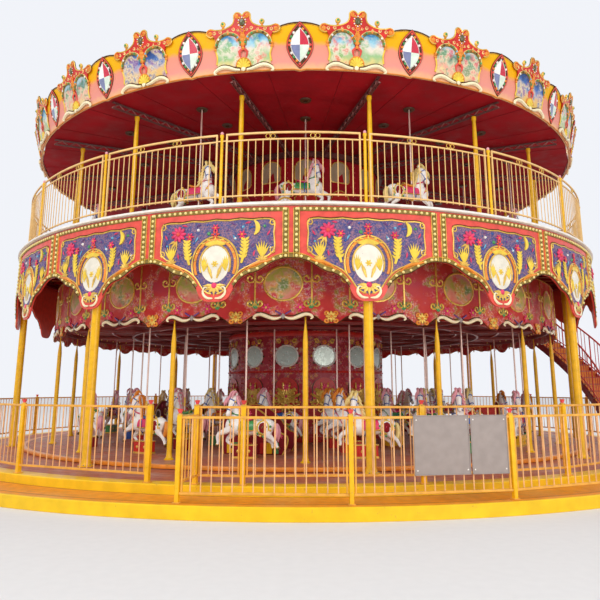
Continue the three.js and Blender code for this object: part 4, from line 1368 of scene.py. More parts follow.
@dataclass
class Stair:
    """The curved stair outside the balcony, with its stringers and balustrades."""

    inner: float = 7.42
    outer: float = 8.08
    foot: float = 71.0
    head: float = 126.0
    end: float = 140.5
    risers: int = 24
    low: float = 0.3
    high: float = 4.6
    rail: float = 0.98
    inset: float = 0.045

    @property
    def rise(self) -> float:
        """The height of one riser."""
        return (self.high - self.low) / self.risers

    @property
    def step(self) -> float:
        """The angle of one tread in degrees."""
        return (self.head - self.foot) / (self.risers - 1)

    def point(self, radius: float, degrees: float, z: float) -> tuple[float, float, float]:
        """Gives a point from its radius, angle and height."""
        angle = math.radians(degrees)
        return (radius * math.sin(angle), -radius * math.cos(angle), z)

    def wedge(self, inner: float, outer: float, start: float, end: float, low: float, high: float,
            cuts: int = 0) -> Shape:
        """Makes a curved block between two radii, angles and heights.

        Args:
            inner: The inner radius.
            outer: The outer radius.
            start: The first angle in degrees.
            end: The last angle.
            low: The lower height.
            high: The upper height.
            cuts: How often it is divided along the curve.

        Returns:
            The shape.
        """
        part = block((1.0, 1.0, 1.0), (0.5, 0.5, 0.5))
        along = [e for e in part.edges if abs(e.verts[0].co.x - e.verts[1].co.x) > 0.5]
        if cuts:
            bmesh.ops.subdivide_edges(part, edges=along, cuts=cuts)
        for vert in part.verts:
            share_along, share_out, share_up = vert.co
            vert.co = self.point(outer + (inner - outer) * share_out, start + (end - start) * share_along,
                low + (high - low) * share_up)
        bmesh.ops.recalc_face_normals(part, faces=part.faces[:])
        return part

    def build(self) -> None:
        """Makes the flight and its two balustrades."""
        self.flight()
        self.balustrade("stair_rail_inner", self.inner + self.inset, False)
        self.balustrade("stair_rail_outer", self.outer - self.inset, True)

    def treads(self) -> Outline:
        """Gives the first angle and the top of each tread."""
        return [(self.foot + self.step * k, self.low + self.rise * (k + 1)) for k in range(self.risers - 1)]

    def flight(self) -> None:
        """Makes treads, risers, stringers and the landing with its apron."""
        form = Form()
        for start, top in self.treads():
            form.add(self.wedge(self.inner, self.outer, start - 0.12, start + self.step, top - 0.03, top),
                DECK)
            form.add(self.wedge(self.inner + 0.01, self.outer - 0.01, start, start + 0.12,
                max(top - self.rise, 0.302), top - 0.03), ORANGE)
        for radius in (self.inner - 0.004, self.outer - 0.036):
            for start, top in self.treads():
                part = self.wedge(radius, radius + 0.04, start, start + self.step, 0.0, 1.0)
                for vert in part.verts:
                    angle = math.degrees(math.atan2(vert.co.x, -vert.co.y))
                    climb = (angle - start) / self.step * self.rise
                    base = max(self.low + 0.002, top - 0.29 + climb)
                    vert.co.z = base if vert.co.z < 0.5 else min(top - 0.1 + climb, self.high - 0.03) + 0.03
                form.add(part, MAROON)
        form.add(self.wedge(self.inner, self.outer, self.head, self.end, self.high - 0.1, self.high, 8), DECK)
        form.add(self.wedge(7.3305, self.inner + 0.02, self.head, self.end, self.high - 0.04,
            self.high - 0.001, 8), DECK)
        for radius in (self.inner, self.outer - 0.03):
            form.add(self.wedge(radius, radius + 0.03, self.head, self.end, self.high - 0.24,
                self.high - 0.101, 8), MAROON)
        for degrees in (self.head + 0.3, (self.head + self.end) / 2, self.end - 0.4):
            form.add(self.wedge(self.inner + 0.03, self.outer - 0.03, degrees, degrees + 0.4, self.high - 0.2,
                self.high - 0.101), MAROON)
        form.piece("stair_treads", "station", "crimson_paint", "stair_flight")

    def balustrade(self, node: str, radius: float, landing: bool) -> None:
        """Makes the bars and hand rail at one side.

        Args:
            node: The CAD node it stands for.
            radius: Its radius.
            landing: True where it goes on round the landing.
        """
        form, tops = Form(), []
        for k in range(1, self.risers - 1):
            base = self.low + self.rise * (k + 1)
            degrees = self.foot + self.step * (k + 0.5)
            tops.append(self.point(radius, degrees, base + self.rail))
            for shift in ((0.0,) if k % 4 == 1 else (-0.25, 0.25)):
                size = 0.017 if shift == 0.0 else 0.009
                drop = shift * self.rise
                form.add(rod(self.point(radius, degrees + shift * self.step, base + 0.001),
                    self.point(radius, degrees + shift * self.step, base + 0.97 + drop), size, 6), SCARLET)
        if landing:
            end = self.end - 0.6
            first = self.head + 0.3
            for k in range(13):
                degrees = first + (end - first) * k / 12
                tops.append(self.point(radius, degrees, self.high + self.rail))
                form.add(rod(self.point(radius, degrees, self.high + 0.001), tops[-1], 0.012, 6), SCARLET)
            inner = self.inner + self.inset
            for k in range(1, 6):
                tops.append(self.point(radius + (inner - radius) * k / 5, end, self.high + self.rail))
                form.add(rod((*tops[-1][:2], self.high + 0.001), tops[-1], 0.012, 6), SCARLET)
        for share, size in ((0.0, 0.024), (-0.86, 0.014)):
            line = [(x, y, z + share) for x, y, z in tops]
            for start, stop in zip(line, line[1:]):
                form.add(rod(start, stop, size, 8), SCARLET)
        form.piece(f"{node}_bars", "station", "red_paint", node)


# Horses

def soffit_at(radius: float) -> float:
    """Gives the height of the canopy's soffit at a radius."""
    return 7.17 + 0.53 * (1 - radius / 7.0)


class Rest(Enum):
    """Where a row of horses rests, in metres from the middle of its travel."""

    LOW = -0.055
    HIGH = 0.055


@dataclass(frozen=True)
class Row:
    """A row of horses that rise and fall over one deck."""

    name: str
    first: int
    radius: float
    angles: tuple[float, ...]
    deck: float
    belly: float
    guide: float
    top: float
    rest: Rest


ROW_ANGLES = tuple(SECTOR / 2 + SECTOR * k for k in range(COLUMNS))
LOWER_ROW = Row("lower_horse", 1, OUTER_ROW, tuple(a for k, a in enumerate(ROW_ANGLES) if k % 4 != 1),
    TURNTABLE_TOP, belly=0.44, guide=0.24, top=3.32, rest=Rest.LOW)
UPPER_OUTER = Row("upper_horse", 1, OUTER_ROW, tuple(SECTOR + 2 * SECTOR * k for k in range(8)), UPPER_TOP,
    belly=0.44, guide=0.24, top=soffit_at(OUTER_ROW) + 0.3, rest=Rest.LOW)
UPPER_INNER = Row("upper_horse", 9, MIDDLE_ROW, tuple(90.0 * k for k in range(4)), UPPER_TOP, belly=0.64,
    guide=0.42, top=soffit_at(MIDDLE_ROW) + 0.3, rest=Rest.HIGH)
STANDING = ([(OUTER_ROW, a) for k, a in enumerate(ROW_ANGLES) if k % 4 == 1] + [(MIDDLE_ROW, a)
    for k, a in enumerate(ROW_ANGLES) if k % 4 != 3] + [(INNER_ROW, a) for a in ROW_ANGLES])


@dataclass(frozen=True)
class Dress:
    """The colours of one horse."""

    mane: Finish
    saddle: Finish
    cloth: Finish
    coat: Finish = WHITE


DRESSES = (Dress(PINK, SCARLET, BLUE), Dress(STRAW, ORANGE, ROSE), Dress(PINK, BLUE, SCARLET),
    Dress(PINK, GREEN, STRAW), Dress(ORANGE, BLUE, ROSE), Dress(PINK, ROSE, GREEN),
    Dress(STRAW, SCARLET, ORANGE),)


@dataclass
class Horse:
    """A galloping horse over the pole's line, facing +X or -X, with its belly at zero height."""

    facing: int = 1
    fine: bool = True
    glance: float = 52.0

    def carriage(self) -> Matrix:
        """Gives the head's place: close to the pole, nose down and turned outwards."""
        poll = Vector((0.385, 0.0, 0.6))
        return (Matrix.Translation(poll + Vector((-0.2, 0.0, 0.03))) @ Matrix.Rotation(
            math.radians(-self.glance * self.facing), 4, "Z") @ Matrix.Rotation(math.radians(12), 4, "Y") @
            Matrix.Scale(1.18, 4) @ Matrix.Translation(-poll))

    def look(self, part: Shape) -> Shape:
        """Puts a part of the head where the neck carries it."""
        bmesh.ops.transform(part, matrix=self.carriage(), verts=part.verts[:])
        return part

    def limb(self, path: Line, sizes: list[Point2], sides: int) -> Shape:
        """Makes a rounded limb along a path, lighter where the horse stands far inside."""
        return sweep(path, sizes, sides if self.fine else max(6, sides * 5 // 8), 3 if self.fine else 2)

    def profile(self, rows: Sequence[tuple[float, float, float, float]], sides: int) -> Shape:
        """Makes a limb from rows of across, height, half height and half width in the middle plane."""
        return self.limb([(x, 0.0, z) for x, z, up, wide in rows], [(wide, up) for x, z, up, wide in rows],
            sides)

    def body(self) -> Form:
        """Makes the horse's skin, hair, hooves and eyes.

        Returns:
            The form, at the origin.
        """
        form = Form()
        form.add(self.profile([(-0.545, 0.165, 0.05, 0.04), (-0.515, 0.17, 0.1, 0.085),
            (-0.43, 0.165, 0.14, 0.115), (-0.28, 0.15, 0.128, 0.112), (-0.1, 0.135, 0.125, 0.108),
            (0.08, 0.14, 0.135, 0.112), (0.21, 0.17, 0.15, 0.116), (0.3, 0.19, 0.13, 0.098),
            (0.355, 0.2, 0.075, 0.055)], 14), WHITE)
        form.add(self.profile([(0.12, 0.2, 0.13, 0.1), (0.165, 0.31, 0.118, 0.08),
            (0.185, 0.42, 0.102, 0.064), (0.19, 0.52, 0.085, 0.054), (0.19, 0.61, 0.07, 0.048),
            (0.2, 0.67, 0.042, 0.038)], 12), WHITE)
        form.add(self.look(self.profile([(0.375, 0.655, 0.03, 0.03), (0.405, 0.625, 0.066, 0.05),
            (0.45, 0.57, 0.07, 0.052), (0.5, 0.505, 0.05, 0.042), (0.54, 0.455, 0.04, 0.035),
            (0.57, 0.42, 0.038, 0.034), (0.588, 0.398, 0.02, 0.02)], 10)), WHITE)
        form.add(self.look(ball((0.566, 0.0, 0.412), (0.03, 0.03, 0.024), 4)), PINK)
        for side in (-1, 1):
            form.add(self.look(sweep(
                [(0.375, side * 0.03, 0.665), (0.38, side * 0.036, 0.705), (0.4, side * 0.038, 0.745)],
                [(0.014, 0.02), (0.013, 0.018), (0.002, 0.002)], 5, 1)), WHITE)
            form.add(self.look(pip((0.447, side * 0.045, 0.6), 0.016, 0.7)), DARK)
            form.add(self.look(pip((0.574, side * 0.026, 0.425), 0.009, 0.8)), DARK)
        self.legs(form)
        self.hair(form)
        return form

    def legs(self, form: Form) -> None:
        """Adds four legs in a gallop.

        Args:
            form: The horse so far.
        """
        fore = [(0.24, 0.16), (0.34, 0.09), (0.46, 0.04), (0.5, -0.02), (0.49, -0.11), (0.505, -0.155)]
        tucked = [(0.2, 0.15), (0.25, 0.03), (0.33, -0.045), (0.35, -0.1), (0.29, -0.15), (0.27, -0.185)]
        hind = [(-0.42, 0.15), (-0.45, 0.03), (-0.5, -0.02), (-0.575, -0.09), (-0.61, -0.165),
            (-0.635, -0.195)]
        reach = [(-0.38, 0.14), (-0.38, 0.0), (-0.41, -0.06), (-0.49, -0.12), (-0.5, -0.185), (-0.52, -0.21)]
        thick = [(0.05, 0.08), (0.045, 0.06), (0.034, 0.04), (0.026, 0.032), (0.02, 0.024), (0.024, 0.026)]
        for path, side in ((fore, 1), (tucked, -1), (hind, 1), (reach, -1)):
            stretch = 1.25 if path in (hind, reach) else 1.0
            sizes = [(wide * (stretch if k < 2 else 1.0), up * (stretch if k < 2 else 1.0))
                for k, (wide, up) in enumerate(thick)]
            line = [(x, side * 0.062, z) for x, z in path]
            form.add(self.limb(line, sizes, 8), WHITE)
            (x1, y, z1), (x2, _, z2) = line[-2:]
            down = Vector((x2 - x1, 0.0, z2 - z1)).normalized()
            start = Vector((x2, y, z2)) - down * 0.004
            form.add(rod(start, start + down * 0.036, 0.025, 8, 0.032), DARK)
            form.add(rod(start - down * 0.008, start + down * 0.004, 0.0285, 8), GOLD)

    def hair(self, form: Form) -> None:
        """Adds the mane's locks, the forelock and the tail.

        Args:
            form: The horse so far.
        """
        count = 9 if self.fine else 5
        for k in range(count):
            share = k / (count - 1)
            x, z = 0.16 - 0.11 * share, 0.7 - 0.34 * share
            drop = 0.06 + 0.03 * (k % 2)
            for side in (-1, 1):
                lock = [(x + 0.04, side * 0.01, z), (x - 0.01, side * 0.045, z - 0.005),
                    (x - 0.03, side * 0.075, z - drop), (x - 0.075, side * 0.085, z - drop - 0.035)]
                form.add(sweep(lock, [(0.014, 0.02), (0.019, 0.027), (0.015, 0.021), (0.003, 0.004)], 5,
                    2 if self.fine else 1), PINK)
        for side in (-0.5, 0.5):
            form.add(self.look(sweep([(0.35, side * 0.04, 0.68), (0.39, side * 0.06, 0.73),
                (0.45, side * 0.07, 0.7), (0.475, side * 0.06, 0.64)],
                [(0.022, 0.016), (0.03, 0.024), (0.022, 0.014), (0.003, 0.003)], 5, 2)), PINK)
        for k in range(3 if self.fine else 2):
            out = 0.035 * k
            form.add(sweep([(0.19, 0.0, 0.7), (0.25 + out, -0.03 * self.facing, 0.735 - out),
                (0.31 + out, -0.05 * self.facing, 0.66 - out), (0.32 + out, -0.04 * self.facing, 0.55 - out)],
                [(0.018, 0.02), (0.026, 0.028), (0.02, 0.022), (0.003, 0.003)], 5, 2), PINK)
        for shift, reach in ((-0.02, 0.0), (0.02, 0.03), (0.0, -0.035))[:3 if self.fine else 2]:
            tail = [(-0.53, shift * 0.4, 0.2), (-0.585, shift, 0.2), (-0.615 + reach * 0.3, shift * 1.6, 0.1),
                (-0.6 + reach * 0.5, shift * 2, -0.01), (-0.585 + reach, shift * 2.2, -0.1)]
            form.add(sweep(tail,
                [(0.016, 0.016), (0.028, 0.03), (0.036, 0.04), (0.03, 0.034), (0.004, 0.004)], 6, 2), PINK)

    def tack(self) -> Form:
        """Makes the saddle, cloth, straps, flank ornaments and stirrups.

        Returns:
            The form, at the origin.
        """
        form = Form()
        skin = self.profile([(-0.22, 0.15, 0.138, 0.124), (-0.16, 0.146, 0.14, 0.127),
            (0.0, 0.142, 0.14, 0.123), (0.1, 0.147, 0.148, 0.124)], 16)
        bmesh.ops.bisect_plane(skin, geom=skin.verts[:] + skin.edges[:] + skin.faces[:], plane_co=(0, 0, 0.1),
            plane_no=(0, 0, -1), clear_outer=True)
        bmesh.ops.holes_fill(skin, edges=[e for e in skin.edges if e.is_boundary], sides=0)
        form.add(skin, ROSE)
        for side in (-1, 1):
            hem = [(-0.215, side * 0.125, 0.11), (-0.16, side * 0.13, 0.1), (0.0, side * 0.127, 0.1),
                (0.1, side * 0.127, 0.11)]
            form.add(sweep(hem, 0.01, 4, 1, side=(0, 0, 1)), GOLD)
            form.add(rod((-0.02, side * 0.12, 0.24), (-0.02, side * 0.14, 0.03), 0.009, 5), BLUE)
            form.add(sweep([(-0.05, side * 0.14, -0.02), (-0.045, side * 0.14, 0.02),
                (-0.02, side * 0.14, 0.036), (0.005, side * 0.14, 0.02), (0.01, side * 0.14, -0.02),
                (-0.05, side * 0.14, -0.024)], 0.006, 4), GOLD)
            form.add(pip((0.25, side * 0.114, 0.2), 0.028, 0.5), GOLD)
            self.rosette(form, side)
        seat = [(-0.19, 0.0, 0.335), (-0.16, 0.0, 0.31), (-0.08, 0.0, 0.285), (0.02, 0.0, 0.29),
            (0.08, 0.0, 0.33)]
        form.add(
            sweep(seat, [(0.05, 0.012), (0.085, 0.03), (0.09, 0.032), (0.07, 0.03), (0.025, 0.02)], 10, 2),
            ORANGE)
        form.add(sweep([(-0.2, -0.07, 0.3), (-0.2, -0.04, 0.345), (-0.2, 0.0, 0.357), (-0.2, 0.04, 0.345),
            (-0.2, 0.07, 0.3)], 0.012, 5, 1, side=(1, 0, 0)), GOLD)
        self.straps(form)
        return form

    def rosette(self, form: Form, side: int) -> None:
        """Adds the carved ring and leaves on one flank.

        Args:
            form: The tack so far.
            side: Which flank, -1 or 1.
        """
        def flank(angle: float, radius: float, lift: float) -> Vector:
            """Gives a point on the flank round the ring's middle."""
            x, rise = -0.36 + radius * math.cos(angle), 1.1 * radius * math.sin(angle)
            return Vector(
                (x, side * (0.116 * math.sqrt(max(0.3, 1 - (rise / 0.142) ** 2)) + lift), 0.15 + rise))

        turn = [k * math.tau / 12 for k in range(13)]
        form.add(ball(flank(0.0, 0.0, -0.004), (0.085, 0.014, 0.095), 4), MAROON)
        form.add(sweep([flank(a, 0.108, 0.002) for a in turn], 0.014, 4, 1, side=(0, 1, 0)), PALE_YELLOW)
        for k in range(9 if self.fine else 5):
            angle = math.pi * (0.95 + 1.1 * k / (8 if self.fine else 4))
            form.add(pip(flank(angle, 0.142, 0.0), 0.024, 0.6), GOLD if k % 2 else GREEN)
        form.add(pip(flank(math.pi / 2, 0.13, 0.002), 0.028, 0.7), GOLD)

    def straps(self, form: Form) -> None:
        """Adds the breast strap, crupper, girth, collar and bridle.

        Args:
            form: The tack so far.
        """
        for k, (x, z, wide, up, tilt, finish) in enumerate(((0.235, 0.19, 0.118, 0.152, 0.5, ROSE),
                (0.03, 0.135, 0.118, 0.138, 0.0, BLUE), (-0.35, 0.16, 0.122, 0.142, -0.5, ROSE),
                (0.18, 0.38, 0.072, 0.115, 1.4, ROSE), (0.435, 0.585, 0.055, 0.078, 0.75, BLUE),
                (0.53, 0.468, 0.041, 0.046, 0.75, BLUE))):
            line = []
            for j in range(13):
                a = math.tau * j / 12
                line.append((x + up * math.sin(a) * math.sin(tilt), wide * math.cos(a),
                    z + up * math.sin(a) * math.cos(tilt)))
            strap = sweep(line, 0.009, 4, 1, side=(math.cos(tilt), 0, -math.sin(tilt)))
            form.add(self.look(strap) if k > 3 else strap, finish)
        for side in (-1, 1):
            form.add(self.look(sweep(
                [(0.44, side * 0.052, 0.585), (0.5, side * 0.045, 0.52), (0.54, side * 0.04, 0.458)], 0.006,
                4)), BLUE)
            bit = self.carriage() @ Vector((0.54, side * 0.042, 0.458))
            form.add(sweep(
                [bit, (0.25, side * 0.1, 0.44), (0.15, side * 0.095, 0.37), (0.05, side * 0.03, 0.34)], 0.006,
                4, 2), ROSE)
            form.add(self.look(pip((0.44, side * 0.056, 0.588), 0.018, 0.8)), GOLD)

    def pattern(self) -> Form:
        """Gives the horse in its tack, turned the way it faces."""
        turn = [Matrix.Rotation(0.0 if self.facing > 0 else math.pi, 4, "Z")]
        return Form().stamp(self.body(), turn).stamp(self.tack(), turn)


@dataclass
class Stable:
    """Puts the moving and standing horses of both decks on their poles."""

    travel: float = 0.22
    pipes: float = 2.9
    upper: Form = field(default_factory=lambda: Horse().pattern())
    lower: Form = field(default_factory=lambda: Horse(-1).pattern())
    plain: Form = field(default_factory=lambda: Horse(-1, False).pattern())

    def mounted(self, pattern: Form, radius: float, belly: float, foot: float, top: float,
            number: int) -> Form:
        """Makes one horse with its pole at the front.

        Args:
            pattern: The horse.
            radius: The row's radius.
            belly: The height of its belly.
            foot: The pole's lower end.
            top: The pole's upper end.
            number: Which dress it wears.

        Returns:
            The form.
        """
        dress = DRESSES[number % len(DRESSES)]
        swaps = {PINK: dress.mane, ORANGE: dress.saddle, ROSE: dress.cloth, WHITE: dress.coat}
        form = Form().stamp(pattern, [Matrix.Translation((0.0, -radius, belly))], swaps)
        form.add(spindle([(0, foot), (0.0165, foot), (0.0165, top), (0, top)], 0.0, radius, 10), ROD)
        for z in (belly - 0.012, belly + 0.31):
            form.add(spindle([(0, z), (0.03, z), (0.034, z + 0.012), (0.024, z + 0.03), (0, z + 0.03)], 0.0,
                radius, 10), GOLD)
        form.add(spindle([(0, belly + 0.42), (0.022, belly + 0.42), (0.022, belly + 0.6), (0, belly + 0.6)],
            0.0, radius, 8), GOLD)
        return form

    def moving(self, row: Row) -> None:
        """Makes a row of horses that rise and fall, each its own piece.

        Args:
            row: Where they stand.
        """
        lift = row.rest.value
        foot = row.deck + row.guide - 0.016 - self.travel / 2 + lift
        for k, degrees in enumerate(row.angles):
            number = row.first + k
            horse = self.mounted(self.lower if row is LOWER_ROW else self.upper, row.radius,
                row.deck + row.belly + lift, foot, row.top + lift,
                number + (3 if row.rest is Rest.HIGH else 0))
            name = f"{row.name}_{number}"
            Form().stamp(horse, [around(degrees)]).piece(f"{name}_figure", name, "figure_gloss", name)

    def standing(self) -> None:
        """Makes the horses that stand still on the lower deck, and the pipes that hold their poles."""
        form, belly, foot = Form(), TURNTABLE_TOP + 0.44, TURNTABLE_TOP + 0.001
        for k, (radius, degrees) in enumerate(STANDING):
            pattern = self.lower if radius == OUTER_ROW else self.plain
            form.stamp(self.mounted(pattern, radius, belly, foot, self.pipes, k + k // 7), [around(degrees)])
        for radius in (MIDDLE_ROW, INNER_ROW):
            form.add(band(radius - 0.027, radius + 0.027, 2.874, 2.928, 96), PIPE)
        arm = Form().add(block((0.05, 2.12, 0.05), (0, -4.54, self.pipes), 0.005), PIPE)
        form.stamp(arm, turned(degrees for radius, degrees in STANDING if radius == OUTER_ROW))
        form.piece("lower_standing_figures", "carousel", "figure_gloss", "lower_standing_horses")

    def build(self) -> None:
        """Makes all horses."""
        for row in (LOWER_ROW, UPPER_OUTER, UPPER_INNER):
            self.moving(row)
        self.standing()


# Lower deck

# The hole that a pole slides in is a square of twice this size
HOLE = 0.026
PEDESTAL = (0.4, 0.17)
PEDESTAL_CAP = (0.42, 0.19)
PEDESTAL_PAINTS = (SCARLET, YELLOW, GREEN, BLUE, SCARLET, MAROON)


def hollow(length: float, width: float, low: float, high: float, radius: float) -> Shape:
    """Makes a block at the front with a square way down its middle for a pole.

    Args:
        length: Its length across.
        width: Its depth.
        low: Its foot.
        high: Its top.
        radius: Its radius.

    Returns:
        The shape.
    """
    part = bmesh.new()
    bmesh.ops.create_grid(part, x_segments=3, y_segments=3, size=0.5)
    for vert in part.verts:
        x, y = vert.co.x, vert.co.y
        across = length / 2 if abs(x) > 0.4 else HOLE
        deep = width / 2 if abs(y) > 0.4 else HOLE
        vert.co = (math.copysign(across, x), -radius + math.copysign(deep, y), low)
    middle = min(part.faces, key=lambda face: (face.calc_center_median() - Vector((0, -radius, low))).length)
    bmesh.ops.delete(part, geom=[middle], context="FACES_ONLY")
    pushed = bmesh.ops.extrude_face_region(part, geom=part.faces[:], use_keep_orig=True)["geom"]
    bmesh.ops.translate(part, vec=(0, 0, high - low),
        verts=[v for v in pushed if isinstance(v, bmesh.types.BMVert)])
    bmesh.ops.recalc_face_normals(part, faces=part.faces[:])
    return part


def pedestal(row: Row, paint: Finish) -> Form:
    """Makes the block that a pole slides in, with a plinth, panelled sides and a cap.

    Args:
        row: The row it stands in.
        paint: Its colour.

    Returns:
        The form, at the front.
    """
    low, top, radius = row.deck + 0.001, row.deck + row.guide, row.radius
    form = Form().add(hollow(*PEDESTAL, low, top - 0.018, radius), paint)
    form.add(hollow(*PEDESTAL_CAP, top - 0.018, top, radius), GOLD)
    form.add(hollow(*PEDESTAL_CAP, low, low + 0.034, radius), GOLD)
    for side in (-1, 1):
        for x in (-0.1, 0.1):
            form.add(block((0.15, 0.012, 0.13), (x, -radius + side * 0.086, low + 0.124), 0.005), paint)
            form.add(pip((x, -radius + side * 0.093, low + 0.124), 0.032, 0.4), GOLD)
    return form


@dataclass
class LowerDeck:
    """The turntable with its pedestals, the middle drum, columns, ceiling, crown and carriages."""

    radius: float = 6.9
    top: float = TURNTABLE_TOP
    core: float = DRUM
    ceiling: float = 3.0
    crown: float = 6.3955
    column: float = 6.25

    def build(self) -> None:
        """Makes every piece of the lower deck."""
        self.turntable()
        self.drum()
        self.frame()
        self.overhead()
        self.crown_ring()
        for k in range(4):
            self.carriage(k)

    def turntable(self) -> None:
        """Makes the deck with its yellow edge, and a painted pedestal under each horse."""
        edge = self.radius
        form = Form().add(band(0, edge - 0.1, 0.311, self.top), DECK)
        form.add(turning([(edge - 0.099, 0.311), (edge - 0.004, 0.311), (edge, 0.318), (edge, 0.366),
            (edge - 0.006, self.top), (edge - 0.099, self.top)], ROUND, True), ORANGE)
        strip = Form().add(block((0.012, 4.6, 0.004), (0, -4.5, self.top), 0.001), OLIVE)
        form.stamp(strip, bays(32, 3.0))
        for k, degrees in enumerate(LOWER_ROW.angles):
            form.stamp(pedestal(LOWER_ROW, PEDESTAL_PAINTS[k % 6]), [around(degrees)])
        for k, (radius, degrees) in enumerate(STANDING):
            stand = Form().add(block((*PEDESTAL, 0.2), (0, -radius, self.top + 0.101), 0.004), YELLOW)
            stand.add(block((*PEDESTAL_CAP, 0.018), (0, -radius, self.top + 0.21), 0.003), GOLD)
            form.stamp(stand, [around(degrees)], {YELLOW: PEDESTAL_PAINTS[(k + 2) % 6]})
        form.piece("turntable_deck", "carousel", "deck_paint", "turntable")

    def drum(self) -> None:
        """Makes the middle drum: mirrors in carved frames over arches, and columns of red bulbs."""
        low, high, core, count = self.top + 0.001, self.ceiling - 0.001, self.core, 14
        # Painted shade: the drum's red darkens towards the ceiling.
        form = Form().add(band(0, core - 0.06, low, high, 98), SHADED_FILIGREE)
        for z, wide in ((low + 0.06, 0.12), (high - 0.09, 0.12), (2.0, 0.05)):
            form.add(turning([(core - 0.061, z - wide / 2), (core - 0.03, z - wide / 2), (core - 0.018, z),
                (core - 0.03, z + wide / 2), (core - 0.061, z + wide / 2)], 98, True), SCARLET)
        bay, front = Form(), core - 0.06
        half = math.pi * core / count
        for x in (-half, -half + 0.075):
            bay.stamp(bulb_row([(x, low + 0.2 + 0.105 * k) for k in range(22)], front + 0.012, 0.022, GARNET))
        bay.stamp(bulb_row([(-0.3 + 0.1 * k, 2.0) for k in range(7)], front + 0.032, 0.022, GARNET))
        mirror, shell = 2.37, 1.34
        outline = arc(0.0, mirror, 0.285, 0, 360, 20, 0.25)[:-1]
        bay.add(plate(outline, front + 0.004, front + 0.012), GLASS)
        bay.trim(outline + outline[:1], front + 0.016, (0.02, 0.022), IVORY)
        for k in range(0, len(outline), 2):
            x, z = outline[k]
            bay.add(pip((1.13 * x, -front - 0.016, mirror + 1.16 * (z - mirror)), 0.03),
                (DARK, IVORY, GOLD)[k // 2 % 3])
        for wide, finish in ((0.31, DARK), (0.285, SCARLET)):
            arch = arc(0.0, 1.62, wide, 0, 180, 14, 0.245) + [(-wide, 1.2), (wide, 1.2)]
            bay.add(plate(arch, front + 0.002, front + (0.016 if finish is DARK else 0.02)), finish)
        for k in range(15):
            angle = math.radians(-8 + 14 * k)
            reach = 0.22 if k % 2 else 0.33
            tip = (reach * math.cos(angle), -front - 0.03, shell + 1.1 * reach * math.sin(angle))
            bay.add(sweep([(0.0, -front - 0.026, 1.3), tip], [(0.012, 0.02), (0.014, 0.03)], 4), GOLD)
            bay.add(pip((tip[0] * 1.06, -front - 0.03, shell + (tip[2] - shell) * 1.08), 0.026),
                (ORANGE, ROSE, GOLD)[k % 3])
        for side in (-1, 1):
            for cx, cz, size, start, turn in ((0.17, 1.5, 0.1, 30, 400), (0.24, 1.3, 0.11, -30, -400),
                    (0.12, 1.12, 0.1, 60, 400), (0.25, 0.9, 0.12, -60, -400), (0.2, 2.72, 0.07, 30, 400)):
                points = curl(side * cx, cz, size, start if side > 0 else 180 - start, turn * side)
                bay.trim(points[::2], front + 0.03, (0.014, 0.02), GOLD)
        for z, size, finish in ((1.62, 0.1, ROSE), (1.42, 0.13, GOLD), (1.2, 0.15, GOLD),
                (0.95, 0.12, ORANGE), (0.7, 0.14, GOLD), (2.7, 0.07, ORANGE)):
            bay.stamp(flower(0.0, z, front + 0.03, size, 7, finish, ROSE))
        bay.bend(core)
        form.stamp(bay, bays(count, 180.0 / count))
        form.piece("lower_drum", "carousel", "crimson_paint", "lower_core")

    def frame(self) -> None:
        """Makes the yellow columns, which taper under the ceiling, and the pipes that they carry."""
        high, radius = self.ceiling - 0.001, self.column
        column = [(0, 0.376), (0.085, 0.376), (0.085, 0.392), (0.06, 0.41), (0.05, 0.46), (0.045, 0.52),
            (0.047, 1.5), (0.045, 2.4), (0.034, 2.55), (0.018, 2.68), (0.014, 2.74), (0.014, 2.93), (0, 2.93)]
        one = Form().add(spindle(column, 0.0, radius, 16), YELLOW)
        form = Form().stamp(one, bays(COLUMNS, 0.0))
        form.add(band(radius - 0.033, radius + 0.033, high - 0.068, high), PIPE)
        pipe = Form().add(block((0.066, 4.17, 0.066), (0, -4.19, high - 0.035), 0.014), PIPE)
        form.stamp(pipe, bays(COLUMNS, 0.0))
        form.piece("lower_columns", "carousel", "yellow_paint", "lower_frame")

    def overhead(self) -> None:
        """Gives the ceiling plate its finish and adds battens and bulbs under it."""
        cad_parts["lower_ceiling"].data.materials.clear()
        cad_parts["lower_ceiling"].data.materials.append(MAROON.material())
        form = Form()
        for radius in (2.9, 4.0, 5.05):
            low, high = self.ceiling - 0.03, self.ceiling - 0.0005
            form.add(band(radius, radius + 0.03, low, high, 120), SCARLET)
        lamp = Form().add(pip((0, -5.95, self.ceiling - 0.022), 0.022, 1.0), BULB)
        form.stamp(lamp, bays(112, 1.0))
        form.piece("lower_ceiling_battens", "carousel", "crimson_paint")

